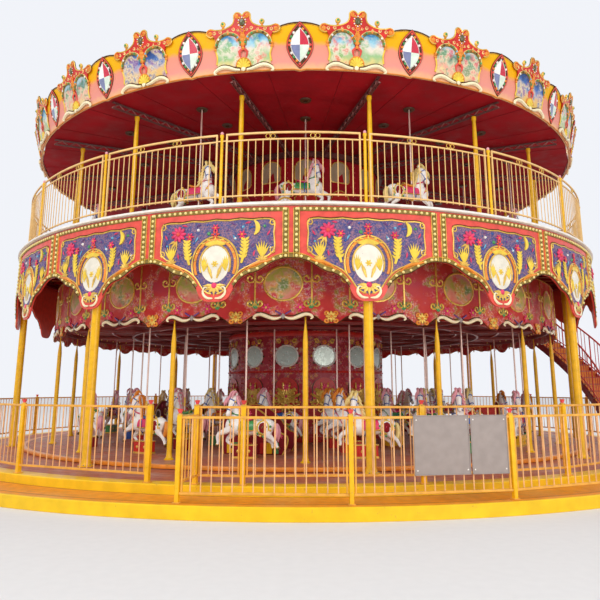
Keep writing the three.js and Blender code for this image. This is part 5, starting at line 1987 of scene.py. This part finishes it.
    def crown_ring(self) -> None:
        """Makes the lower crown: panels over a scalloped edge, cream scrolls, diamonds and rosettes."""
        radius, high, count = self.crown, 3.9, 24
        half = math.pi * radius / count
        bay = Form()
        edge = [(0.0, 2.79), (0.1, 2.775), (0.32, 2.81), (0.5, 2.84), (0.62, 2.78), (0.72, 2.71),
            (half, 2.69)]
        right = spline(edge, 2)
        hem = [(-x, z) for x, z in reversed(right)] + right[1:]
        bay.add(sliced(plate(hem + [(half, 3.88), (-half, 3.88)], radius - 0.044, radius - 0.014)), HORIZON)
        bay.trim(hem, radius - 0.01, (0.012, 0.01), DARK, 4)
        for x in (-half * 0.6, half * 0.6):
            bay.add(block((0.03, 0.02, 0.86), (x, -radius + 0.008, 3.43), 0.004), GOLD)
            for side in (-1, 1):
                for cz, size in ((3.06, 0.075), (3.5, 0.09)):
                    points = curl(x + side * 0.085, cz, size, 90 + 90 * side, side * 400, 8)
                    bay.trim(points, radius - 0.004, (0.012, 0.018), GOLD, 4)
        oval = arc(0.0, 3.4, 0.34, 0, 360, 20, 0.3)
        bay.add(sliced(plate(oval[:-1], radius - 0.014, radius)), PAINTED)
        bay.trim(oval, radius - 0.002, (0.012, 0.02), GOLD)
        for side in (-1, 1):
            scroll = [(0.03, 2.815), (0.09, 2.79), (0.18, 2.785), (0.29, 2.825), (0.39, 2.86), (0.48, 2.845),
                (0.515, 2.8), (0.475, 2.78)]
            sizes = [(0.012, 0.012), (0.02, 0.022), (0.024, 0.028), (0.024, 0.032), (0.024, 0.03),
                (0.022, 0.026), (0.018, 0.022), (0.008, 0.01)]
            bay.trim(scroll, radius + 0.004, sizes, CREAM, 6, 2, side=side)
            under = [(0.06, 2.8), (0.2, 2.8), (0.33, 2.845), (0.48, 2.86)]
            bay.trim(under, radius - 0.002, 0.009, DARK, 4, 2, 0.04, side)
            for x, z in arc(0.5, 3.0, 0.13, 30, 135, 3):
                leaf = [(side * 0.48, -radius + 0.004, 2.97), (side * x, -radius, z)]
                bay.add(sweep(leaf, [(0.008, 0.024), (0.003, 0.003)], 4), GREEN)
            bay.stamp(flower(side * 0.3, 2.98, radius, 0.085, 6, ROSE, GOLD))
            bay.add(rod((side * 0.14, -radius, 2.92), (side * 0.04, -radius - 0.004, 2.86), 0.016, 5), PLUM)
        bay.add(
            plate([(0, 2.77), (0.05, 2.82), (0, 2.88), (-0.05, 2.82)], radius - 0.02, radius + 0.016, 0.008),
            STEEL)
        rosette = Form()
        for side in (-1, 1):
            for up in (-1, 1):
                points = curl(half + side * 0.085, 2.81 + up * 0.06, 0.045, 90 + side * 90, -side * up * 380,
                    8)
                rosette.trim(points, radius + 0.008, (0.014, 0.018), ORANGE)
        rosette.stamp(flower(half, 2.82, radius + 0.012, 0.1, 8, GOLD, ORANGE))
        bay.stamp(rosette)
        bay.bend(radius)
        form = Form().stamp(bay, bays(count, 4.0 + 7.5))
        form.add(band(6.351, radius, 3.88, high), GOLD)
        form.piece("lower_crown_ring", "carousel", "crown_paint", "lower_crown")

    def carriage(self, number: int) -> None:
        """Makes one carriage: a bench between scrolled sides with a round window in each, shown as a dark
        disc of painted shade.

        Args:
            number: Its place in the row.
        """
        form, radius = Form(), MIDDLE_ROW
        low = self.top + 0.001
        side = spline([(-0.62, low), (-0.66, low + 0.3), (-0.63, low + 0.62), (-0.5, low + 0.83),
            (-0.25, low + 0.9), (-0.02, low + 0.86), (0.16, low + 0.76), (0.32, low + 0.6),
            (0.46, low + 0.42), (0.63, low + 0.33), (0.62, low + 0.16), (0.54, low)], 3)
        for inner, outer in ((radius - 0.38, radius - 0.34), (radius + 0.34, radius + 0.38)):
            form.add(plate(side, inner, outer, 0.006), MAROON)
        for face, away in ((radius + 0.38, 1), (radius - 0.38, -1)):
            form.trim(side, face + away * 0.004, 0.016, GOLD)
            form.trim(arc(0.12, low + 0.5, 0.15, 0, 360, 20), face + away * 0.006, (0.014, 0.026), IVORY)
            # Painted shade: the window is not cut; a dark disc on the side stands for the shaded inside seen
            # through it.
            disc = plate(arc(0.12, low + 0.5, 0.135, 0, 360, 20)[:-1], face - 0.002, face + 0.002)
            bmesh.ops.translate(disc, vec=(0, -away * 0.002, 0), verts=disc.verts[:])
            form.add(disc, DARK)
            form.curls([(-0.2, low + 0.35, 0.1, 90, -420), (-0.36, low + 0.6, 0.12, 200, 400)],
                face + away * 0.006, (0.01, 0.022), GOLD)
            for x, z in ((0.5, low + 0.34), (-0.5, low + 0.42), (-0.12, low + 0.75)):
                form.stamp(flower(x, z, face if away > 0 else face - 0.01, 0.055, 6, ROSE, GOLD))
            for k in range(8):
                x = -0.5 + 0.13 * k
                form.add(block((0.11, 0.012, 0.2), (x, -face - away * 0.003, low + 0.115), 0.004),
                    PEDESTAL_PAINTS[(k + 1) % 6])
        seat = spline([(-0.5, low + 0.36), (-0.3, low + 0.42), (-0.12, low + 0.42), (-0.1, low + 0.37),
            (-0.14, low + 0.1), (-0.14, low), (-0.5, low)], 3)
        form.add(plate(seat, radius - 0.338, radius + 0.338, 0.01), SCARLET)
        back = spline([(-0.54, low), (-0.47, low + 0.3), (-0.52, low + 0.72), (-0.56, low + 0.8),
            (-0.6, low + 0.7), (-0.6, low)], 3)
        form.add(plate(back, radius - 0.338, radius + 0.338, 0.01), SCARLET)
        form.add(block((0.7, 0.67, 0.05), (0.2, -radius, low + 0.026), 0.008), DECK)
        placed = Form().stamp(form, [around(90.0 * number - SECTOR / 2)])
        placed.piece(f"carriage_{number + 1}", "carousel", "cream_gloss", f"lower_chariot_{number + 1}")


# Upper deck

@dataclass
class UpperDeck:
    """The upper deck with bases and scrolls under its horses, the middle drum and gold columns."""

    radius: float = 6.45
    under: float = 4.82
    top: float = UPPER_TOP
    core: float = DRUM

    def build(self) -> None:
        """Makes every piece of the upper deck."""
        self.deck()
        self.drum()
        self.frame()

    def deck(self) -> None:
        """Makes the deck, the drum that carries it, and the ornamented bases of the horses."""
        edge, core = self.radius, self.core
        form = Form().add(band(core + 0.001, edge - 0.05, self.under, self.top), DECK)
        form.add(turning([(edge - 0.049, self.under), (edge - 0.01, self.under), (edge, self.under + 0.01),
            (edge, self.top - 0.01), (edge - 0.01, self.top), (edge - 0.049, self.top)], ROUND, True), IVORY)
        form.add(band(0, core, 3.061, self.top, 96), MAROON)
        rib = Form().add(block((0.06, 3.7, 0.12), (0, -4.2, self.under - 0.06), 0.006), MAROON)
        form.stamp(rib, bays(32, 0.0))
        form.stamp(self.base(), turned(UPPER_INNER.angles))
        for k, degrees in enumerate(UPPER_OUTER.angles):
            form.stamp(pedestal(UPPER_OUTER, PEDESTAL_PAINTS[(k + 1) % 6]), [around(degrees)])
        form.stamp(self.low_scrolls(), turned(UPPER_OUTER.angles))
        form.piece("upper_deck_and_bases", "carousel", "cream_gloss", "upper_deck")

    def base(self) -> Form:
        """Makes the cream base under an inner horse, with the gold arched shell behind its seat.

        Returns:
            The form, at the front.
        """
        radius, low = UPPER_INNER.radius, self.top + 0.001
        form = Form().add(hollow(0.36, 0.2, low, low + 0.395, radius), WHITE)
        form.add(hollow(0.4, 0.22, low + 0.396, low + 0.419, radius), GOLD)
        form.add(hollow(0.5, 0.24, low, low + 0.05, radius), CREAM)
        for x, width, tall in ((-0.5, 0.62, 0.19), (0.42, 0.44, 0.19)):
            form.add(block((width, 0.28, tall), (x, -radius, low + tall / 2), 0.012), WHITE)
            form.add(block((width + 0.02, 0.3, 0.03), (x, -radius, low + tall + 0.015), 0.006), CREAM)
        for away in (1, -1):
            face = radius + away * 0.162
            form.trim(arc(-0.42, low + 0.33, 0.2, 0, 180, 14, 0.27), face, (0.016, 0.02), GOLD)
            middle = (-0.42, low + 0.34)
            for tip in arc(*middle, 0.18, 15, 165, 6, 0.23):
                form.trim([middle, tip], face, [(0.01, 0.014), (0.014, 0.036)], WHITE)
            form.curls([(0.36, low + 0.28, 0.07, 0, 420), (0.54, low + 0.26, 0.05, 0, 420),
                (-0.7, low + 0.28, 0.07, 180, -420)], face, (0.02, 0.02), CREAM)
            for x in (-0.16, 0.0, 0.16):
                form.stamp(
                    flower(x, low + 0.22, radius + 0.1 if away > 0 else radius - 0.11, 0.06, 6, ORANGE, ROSE))
        seat = spline([(-0.3, low + 0.22), (-0.28, low + 0.4), (-0.24, low + 0.5), (-0.2, low + 0.46),
            (-0.2, low + 0.22)], 3)
        form.add(plate(seat, radius - 0.1, radius + 0.1, 0.008), SCARLET)
        return form

    def low_scrolls(self) -> Form:
        """Makes the pair of low gilt scrolls on each side of an outer horse's pedestal."""
        form, radius, low = Form(), UPPER_OUTER.radius, self.top + 0.001
        for side in (-1, 1):
            form.add(block((0.5, 0.16, 0.06), (side * 0.48, -radius, low + 0.031), 0.008), CREAM)
            path = [(side * 0.24, -radius, low + 0.07), (side * 0.4, -radius, low + 0.17),
                (side * 0.56, -radius, low + 0.11), (side * 0.7, -radius, low + 0.15),
                (side * 0.76, -radius, low + 0.1)]
            form.add(sweep(path, [(0.03, 0.03), (0.034, 0.036), (0.03, 0.03), (0.026, 0.026), (0.012, 0.012)],
                6, 3), YELLOW)
            form.stamp(flower(side * 0.42, low + 0.14, radius + 0.05, 0.05, 6, GREEN, GOLD))
        return form

    def drum(self) -> None:
        """Makes the middle drum, with beige panels in frames high up and plain framed fields under them."""
        core, low = self.core, self.top + 0.001
        high, count = soffit_at(core) + 0.03, 14
        form = Form().add(band(0, core - 0.04, low, high, 98), CRIMSON)
        bay, front = Form(), core - 0.04
        half = math.pi * core / count
        for z0, tall, finish in ((low + 1.89, 0.56, BEIGE), (low + 0.95, 0.72, SCARLET),
                (low + 0.2, 0.52, CREAM)):
            wide = 0.28
            outline = [(-wide, z0 + 0.05), (-wide + 0.05, z0), (wide - 0.05, z0), (wide, z0 + 0.05),
                (wide, z0 + tall * 0.7), *arc(0.0, z0 + tall * 0.7, wide - 0.03, 0, 180, 10, tall * 0.3),
                (-wide, z0 + tall * 0.7)]
            bay.add(plate(outline, front, front + 0.012, 0.004), finish)
            bay.trim(outline + outline[:1], front + 0.012, (0.012, 0.016), GOLD)
        bay.stamp(bulb_row([(half, low + 0.15 + 0.14 * k) for k in range(17)], front + 0.01, 0.02, GARNET))
        bay.bend(core)
        form.stamp(bay, bays(count, 0.0))
        form.piece("upper_drum", "carousel", "crimson_paint", "upper_core")

    def frame(self) -> None:
        """Makes the gold columns and the ring that they stand on."""
        high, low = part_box("upper_frame")[1].z, self.top + 0.001
        column = [(0, low), (0.08, low), (0.08, low + 0.03), (0.055, low + 0.05), (0.045, low + 0.1),
            (0.045, high - 0.5), (0.036, high - 0.1), (0.05, high - 0.06), (0.05, high), (0, high)]
        one = Form().add(spindle(column, 0.0, 6.245, 16), YELLOW)
        form = Form().stamp(one, bays(COLUMNS, SECTOR / 2))
        form.add(band(6.22, 6.28, low, low + 0.028), YELLOW)
        form.piece("upper_columns", "carousel", "gold_paint", "upper_frame")


# Canopy

@dataclass
class Canopy:
    """The trusses, soffit, crowned valance, roof and finial."""

    radius: float = 7.0
    seam: float = 7.23
    lean: float = 0.215 / 0.96
    board: float = 7.034
    carving: float = 7.05
    bays: int = 22
    phase: float = -0.8

    @property
    def pitch(self) -> float:
        """The length of a bay along the rim."""
        return math.tau * self.radius / self.bays

    def build(self) -> None:
        """Makes every piece of the canopy."""
        self.trusses()
        self.soffit()
        self.valance()
        self.roof()

    def trusses(self) -> None:
        """Makes the lattice trusses with their zigzag, and the hub ring that they spring from."""
        one, depth = Form(), 0.13
        inner, outer = 2.12, 6.88
        for drop in (0.02, depth):
            for x in (-0.018, 0.018):
                start, end = (x, -inner, soffit_at(inner) - drop - 0.005), (x, -outer,
                    soffit_at(outer) - drop - 0.005)
                one.add(rod(start, end, 0.014, 5), TRUSS)
        count = 30
        for k in range(count):
            near, far = (inner + (outer - inner) * (k + j) / count for j in (0, 1))
            drops = (0.02, depth) if k % 2 else (depth, 0.02)
            one.add(rod((0, -near, soffit_at(near) - drops[0] - 0.005),
                (0, -far, soffit_at(far) - drops[1] - 0.005), 0.014, 4), LATTICE)
        form = Form().stamp(one, bays(COLUMNS, SECTOR / 2))
        top = soffit_at(2.19)
        form.add(band(2.101, 2.19, top - 0.14, top - 0.002, 96), TRUSS)
        form.piece("canopy_lattice", "carousel", "truss_paint", "canopy_trusses")

    def soffit(self) -> None:
        """Gives the soffit its finish and adds seams and the dark housings round the poles of the horses."""
        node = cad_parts["canopy_soffit"]
        node.data.materials.clear()
        node.data.materials.append(CRIMSON.material())
        form = Form()
        for row in (UPPER_OUTER, UPPER_INNER):
            height = soffit_at(row.radius) - 0.03
            ring = [(0.045, -0.012), (0.11, -0.012), (0.12, 0.012), (0.1, 0.02), (0.045, 0.02)]
            one = turning(ring, 14, True)
            bmesh.ops.translate(one, vec=(0, -row.radius, height), verts=one.verts[:])
            form.stamp(Form().add(one, DARK), bays(COLUMNS, 0.0))
        strip = Form().add(
            rod((0, -2.2, soffit_at(2.2) - 0.003), (0, -6.95, soffit_at(6.95) - 0.003), 0.006, 5), MAROON)
        form.stamp(strip, bays(32, 5.625))
        form.piece("canopy_soffit_fittings", "carousel", "crimson_paint")

    def valance(self) -> None:
        """Makes one bay of the crowned valance and sets it round the rim, with three kinds of picture."""
        bay = Form()
        bay.stamp(self.panel())
        bay.stamp(self.medallion())
        crown = self.crown_half().mirrored().stamp(self.crown_middle())
        bay.stamp(crown, [Matrix.Translation((self.pitch / 2, 0, 0))])
        bay.bend(self.radius, self.seam, self.lean)
        form = Form()
        for k, place in enumerate(bays(self.bays, self.phase)):
            form.stamp(bay, [place], {SKY_PICTURE: PICTURES[k % 3]})
        form.piece("crown_valance_carving", "carousel", "crown_paint", "crown_valance")

    def panel(self) -> Form:
        """Makes the faded panel between two crowns, with its dark line and gold rim."""
        form, face, half = Form(), self.board, self.pitch / 2
        top = arc(0.0, 7.63, 0.6, 150, 30, 12, 0.33)
        outline = [(-half, 7.14), (-0.1, 7.14), (0.0, 7.115), (0.1, 7.14), (half, 7.14), (half, 7.75),
            (0.62, 7.75), *reversed(top), (-0.62, 7.75), (-half, 7.75)]
        form.add(sliced(plate(outline, 7.002, face)), SUNRISE)
        rim = [(-0.62, 7.74)] + top + [(0.62, 7.74)]
        form.trim(rim, face + 0.002, (0.016, 0.012), DARK, rise=0.006)
        form.trim(rim, face + 0.004, (0.01, 0.008), GOLD, 4, rise=-0.016)
        low = [(-half, 7.145), (-0.5, 7.145), (-0.12, 7.145), (0.0, 7.122), (0.12, 7.145), (0.5, 7.145),
            (half, 7.145)]
        form.trim(low, face + 0.006, (0.014, 0.012), ORANGE, 5, 2)
        return form

    def pointed(self, wide: float, tall: float, cz: float, count: int = 7) -> Outline:
        """Gives a pointed oval.

        Args:
            wide: Half its width.
            tall: Half its height.
            cz: The height of its middle.
            count: Points to each quarter.

        Returns:
            Points across and up, from the top point clockwise.
        """
        quarter = [(wide * math.sin(0.5 * math.pi * k / count) ** 1.05, tall * (1 - (k / count) ** 1.1))
            for k in range(count + 1)]
        right = quarter + [(x, -z) for x, z in reversed(quarter[:-1])]
        return [(x, cz + z) for x, z in right] + [(-x, cz + z) for x, z in reversed(right[1:-1])]

    def medallion(self) -> Form:
        """Makes the pointed oval with its beaded border and four plain quarters."""
        form, face, cz = Form(), self.carving, 7.56
        form.add(plate(self.pointed(0.236, 0.415, cz), face - 0.02, face + 0.012), DARK)
        for wide, tall, finish in ((0.222, 0.39, CORAL), (0.156, 0.295, IVORY)):
            ring = self.pointed(wide, tall, cz)
            form.trim(ring + ring[:1], face + 0.014, (0.009, 0.01), finish, 4)
        beads = self.pointed(0.184, 0.33, cz, 5)
        paints = (CORAL, ORANGE, GREEN, IVORY, DARK)
        for k, (x, z) in enumerate(beads):
            form.add(pip((x, -face - 0.018, z), 0.026), paints[k % 5])
        for side, up, finish in ((-1, 1, WHITE), (1, 1, CARMINE), (-1, -1, BLUE_GREY), (1, -1, MINT)):
            quarter = [(x, z) for x, z in self.pointed(0.15, 0.28, cz)
                if x * side >= -1e-6 and (z - cz) * up >= -1e-6]
            shield = sorted(quarter, key=lambda point: point[1])
            form.add(plate([(0.0, cz)] + shield, face + 0.01, face + 0.022), finish)
        return form

    def crown_half(self) -> Form:
        """Makes the right half of a crown: lobes, gems, arch, picture and swan-neck scroll."""
        form, face = Form(), self.carving
        edge = spline([(0.0, 8.1), (0.04, 8.15), (0.1, 8.165), (0.145, 8.12), (0.145, 8.05), (0.17, 7.98),
            (0.24, 7.93), (0.36, 7.895), (0.5, 7.9), (0.58, 7.925), (0.645, 7.89), (0.65, 7.83),
            (0.59, 7.785), (0.53, 7.79)], 2)
        cx, cz, wide = 0.262, 7.6, 0.222
        window = arc(cx, cz, wide, 0, 180, 12, 0.2)
        form.add(plate(edge + [(0.5, 7.74)] + window + [(0.0, 7.5)], face, face + 0.03), SCARLET)
        form.trim(edge, face + 0.028, (0.012, 0.013), GOLD)
        form.trim(edge, face + 0.014, (0.014, 0.008), DARK, 4, rise=0.012)
        for x, z, size, start, turn in ((0.085, 8.105, 0.048, 200, 380), (0.59, 7.85, 0.072, 120, -420)):
            form.trim(curl(x, z, size, start, turn, 8), face + 0.034, (0.01, 0.013), ORANGE)
            form.add(pip((x, -face - 0.03, z), size * 0.6), ORANGE)
        form.add(ball((0.345, -face - 0.02, 7.985), (0.05, 0.036, 0.05), 5), GOLD)
        form.add(pip((0.345, -face - 0.05, 7.985), 0.024), GREEN)
        form.add(spindle([(0, 7.905), (0.034, 7.905), (0.016, 7.94), (0, 7.94)], 0.345, face + 0.016, 8),
            ORANGE)
        for x, z, radius in ((0.16, 7.88, 0.026), (0.27, 7.86, 0.018), (0.4, 7.855, 0.026),
                (0.51, 7.845, 0.026), (0.08, 7.86, 0.02)):
            form.add(pip((x, -face - 0.03, z), radius * 1.3), STRAW)
            form.add(pip((x, -face - 0.042, z), radius * 0.75), CORAL)
        arch = arc(cx, cz, wide, -2, 182, 14, 0.212)
        form.add(sliced(plate(arc(cx, cz, wide, 0, 180, 12, 0.212) + [(0.04, 7.24), (0.484, 7.24)],
            face + 0.004, face + 0.014)), SKY_PICTURE)
        form.trim(arch, face + 0.02, (0.016, 0.024), OLIVE)
        paints = (GREEN, IVORY, DARK, ORANGE, GREEN, SKY)
        for k in range(1, 15, 2):
            form.add(pip((arch[k][0], -face - 0.036, arch[k][1]), 0.022), paints[(k // 2) % 6])
        outer = arc(cx, cz, 0.246, 4, 176, 12, 0.238)
        form.trim(outer, face + 0.03, (0.01, 0.008), STRAW, 4)
        for z in (7.62, 7.56):
            form.add(pip((0.51, -face - 0.016, z), 0.032), ORANGE)
        form.add(sweep(
            [(0.505, -face - 0.012, 7.54), (0.475, -face - 0.016, 7.42), (0.495, -face - 0.012, 7.3)],
            [(0.012, 0.016), (0.012, 0.014), (0.012, 0.018)], 5, 2), PALE_YELLOW)
        scroll = [(0.06, 7.16), (0.15, 7.17), (0.26, 7.215), (0.36, 7.235), (0.45, 7.215), (0.52, 7.165),
            (0.53, 7.125), (0.49, 7.115)]
        sizes = [(0.02, 0.02), (0.03, 0.028), (0.034, 0.034), (0.036, 0.038), (0.034, 0.034), (0.03, 0.028),
            (0.024, 0.022), (0.01, 0.01)]
        form.trim(scroll, face + 0.03, sizes, CREAM, 6, 2)
        form.trim(scroll[:6], face + 0.03, 0.012, DARK, 4, 2, 0.04)
        return form

    def crown_middle(self) -> Form:
        """Makes what stands in the middle of a crown: the gem, the orange ornament and the shell."""
        form, face = Form(), self.carving
        form.add(ball((0, -face - 0.04, 7.985), (0.05, 0.026, 0.066), 5), PLUM_GREEN)
        for k, (x, z) in enumerate(arc(0.0, 7.985, 0.068, 0, 330, 11, 0.086)):
            form.add(pip((x, -face - 0.038, z), 0.015), IVORY if k % 2 else GOLD)
        form.stamp(flower(0.0, 7.83, face + 0.04, 0.06, 6, ORANGE, ROSE))
        for k in range(4):
            form.add(pip((0, -face - 0.03, 7.75 - 0.07 * k), 0.052 - 0.006 * k), ORANGE)
        for side in (-1, 1):
            form.add(sweep([(0, -face - 0.024, 7.7), (side * 0.07, -face - 0.03, 7.73),
                (side * 0.11, -face - 0.024, 7.67)], [(0.014, 0.018), (0.016, 0.024), (0.006, 0.008)], 5, 2),
                ORANGE)
            form.add(sweep([(0, -face - 0.024, 7.54), (side * 0.07, -face - 0.026, 7.48),
                (side * 0.05, -face - 0.02, 7.38)], [(0.012, 0.02), (0.016, 0.026), (0.006, 0.01)], 5, 2),
                CORAL)
        for x, z in arc(0.0, 7.24, 0.118, 0, 180, 6, 0.125):
            leaf = [(0, -face - 0.03, 7.2), (x, -face - 0.024, z)]
            form.add(sweep(leaf, [(0.012, 0.012), (0.016, 0.03)], 5), PALE_YELLOW)
        form.trim(arc(0.0, 7.24, 0.13, 0, 180, 10, 0.135), face + 0.026, (0.012, 0.012), ORANGE)
        form.add(pip((0, -face - 0.036, 7.17), 0.045), CREAM)
        return form

    def roof(self) -> None:
        """Makes the roof's panels with their seams, its upstand and the finial."""
        form = Form()
        outline = [(6.95, soffit_at(6.95) + 0.041), (6.95, 7.65), (0.9, 9.25), (0.66, 9.25), (0.66, 9.19),
            (0.9, 9.19), (6.89, 7.59), (6.89, soffit_at(6.89) + 0.041)]
        form.add(turning(outline, ROUND, True), SCARLET)
        seam = Form().add(rod((0, -6.92, 7.655), (0, -0.92, 9.242), 0.022, 6), GOLD)
        seam.add(rod((0, -6.94, 7.25), (0, -6.94, 7.64), 0.022, 6), GOLD)
        form.stamp(seam, bays(24, 6.8))
        form.add(turning([(6.86, 7.63), (6.99, 7.63), (6.99, 7.68), (6.86, 7.7)], ROUND, True), GOLD)
        form.piece("canopy_roof_panels", "carousel", "red_paint", "canopy_roof")
        finial = [(0, 9.251), (0.88, 9.251), (0.88, 9.27), (0.66, 9.31), (0.62, 9.33), (0.64, 9.42),
            (0.58, 9.5), (0.5, 9.56), (0.34, 9.68), (0.28, 9.73), (0.12, 9.78), (0.09, 9.82), (0.14, 9.85),
            (0.22, 9.91), (0.232, 9.96), (0.22, 10.02), (0.15, 10.11), (0.07, 10.16), (0.05, 10.2),
            (0.06, 10.24), (0.02, 10.38), (0, 10.4)]
        top = Form().add(turning(finial, 48), GOLD)
        rib = Form().add(
            sweep([(0.0, -0.6, 9.5), (0.0, -0.42, 9.64), (0.0, -0.3, 9.74)], 0.02, 6, 3, side=(1, 0, 0)),
            SCARLET)
        top.stamp(rib, bays(12, 0.0))
        lamp = Form().add(ball((0, -0.76, 9.32), (0.03, 0.03, 0.03), 5), BULB)
        top.stamp(lamp, bays(24, 0.0))
        top.piece("roof_finial_turned", "carousel", "gold_paint", "roof_finial")


# Studio

@dataclass
class Studio:
    """The camera, the pale floor and the soft lights."""

    distance: float = 17.136
    eye: float = 1.58
    pitch: float = 11.93
    focal: float = 621.3
    sensor: float = 36.0
    frame_size: float = 600.0
    centre: Point2 = (305.5, 258.2)

    def build(self) -> None:
        """Sets up the camera, the floor and the lights."""
        self.camera()
        self.floor()
        self.lights()

    def camera(self) -> None:
        """Puts the camera where the photograph was taken from."""
        data = bpy.data.cameras.new("camera")
        data.sensor_width = self.sensor
        data.lens = self.sensor * self.focal / self.frame_size
        data.shift_x = (self.frame_size / 2 - self.centre[0]) / self.frame_size
        data.shift_y = (self.centre[1] - self.frame_size / 2) / self.frame_size
        data.clip_end = 500.0
        made = bpy.data.objects.new("camera", data)
        made.location = (0.0, -self.distance, self.eye)
        made.rotation_euler = (math.radians(90.0 + self.pitch), 0.0, 0.0)
        bpy.context.scene.collection.objects.link(made)
        bpy.context.scene.camera = made

    def floor(self) -> None:
        """Lays the pale floor."""
        part = bmesh.new()
        bmesh.ops.create_circle(part, cap_ends=True, segments=96, radius=120.0)
        mesh = bpy.data.meshes.new("studio_floor")
        part.to_mesh(mesh)
        part.free()
        mesh.materials.append(
            Finish("studio_grey", (0.74, 0.73, 0.71), rough=0.9, coat=0.0, mottle=0.02, scuff=0.0).material())
        made = bpy.data.objects.new("studio_floor", mesh)
        made.location.z = -0.002
        bpy.context.scene.collection.objects.link(made)

    def lights(self) -> None:
        """Adds an even sky and two broad soft lights."""
        world = bpy.data.worlds.new("sky")
        world.use_nodes = True
        background = world.node_tree.nodes["Background"]
        background.inputs["Color"].default_value = (0.93, 0.95, 1.0, 1.0)
        background.inputs["Strength"].default_value = 0.95
        scene = bpy.context.scene
        scene.world = world
        scene.view_settings.view_transform = "Standard"
        aim = Vector((0.0, 0.0, 4.0))
        for name, place, size, energy in (("key", (-9.0, -22.0, 14.0), 12.0, 1500.0),
                ("fill", (10.0, -20.0, 3.0), 10.0, 900.0), ("rear", (6.0, 24.0, 14.0), 12.0, 1500.0)):
            light = bpy.data.lights.new(name, "AREA")
            light.size = size
            light.energy = energy
            made = bpy.data.objects.new(name, light)
            made.location = place
            made.rotation_euler = (aim - Vector(place)).to_track_quat("-Z", "Y").to_euler()
            scene.collection.objects.link(made)


def main() -> None:
    """Builds the studio and every piece; each piece logs its number of faces as it is made."""
    logging.basicConfig(level=logging.INFO, format="%(message)s")
    Studio().build()
    for maker in (Station(), Balcony(), Stair(), LowerDeck(), UpperDeck(), Canopy(), Stable()):
        maker.build()


if __name__ == "__main__":
    main()
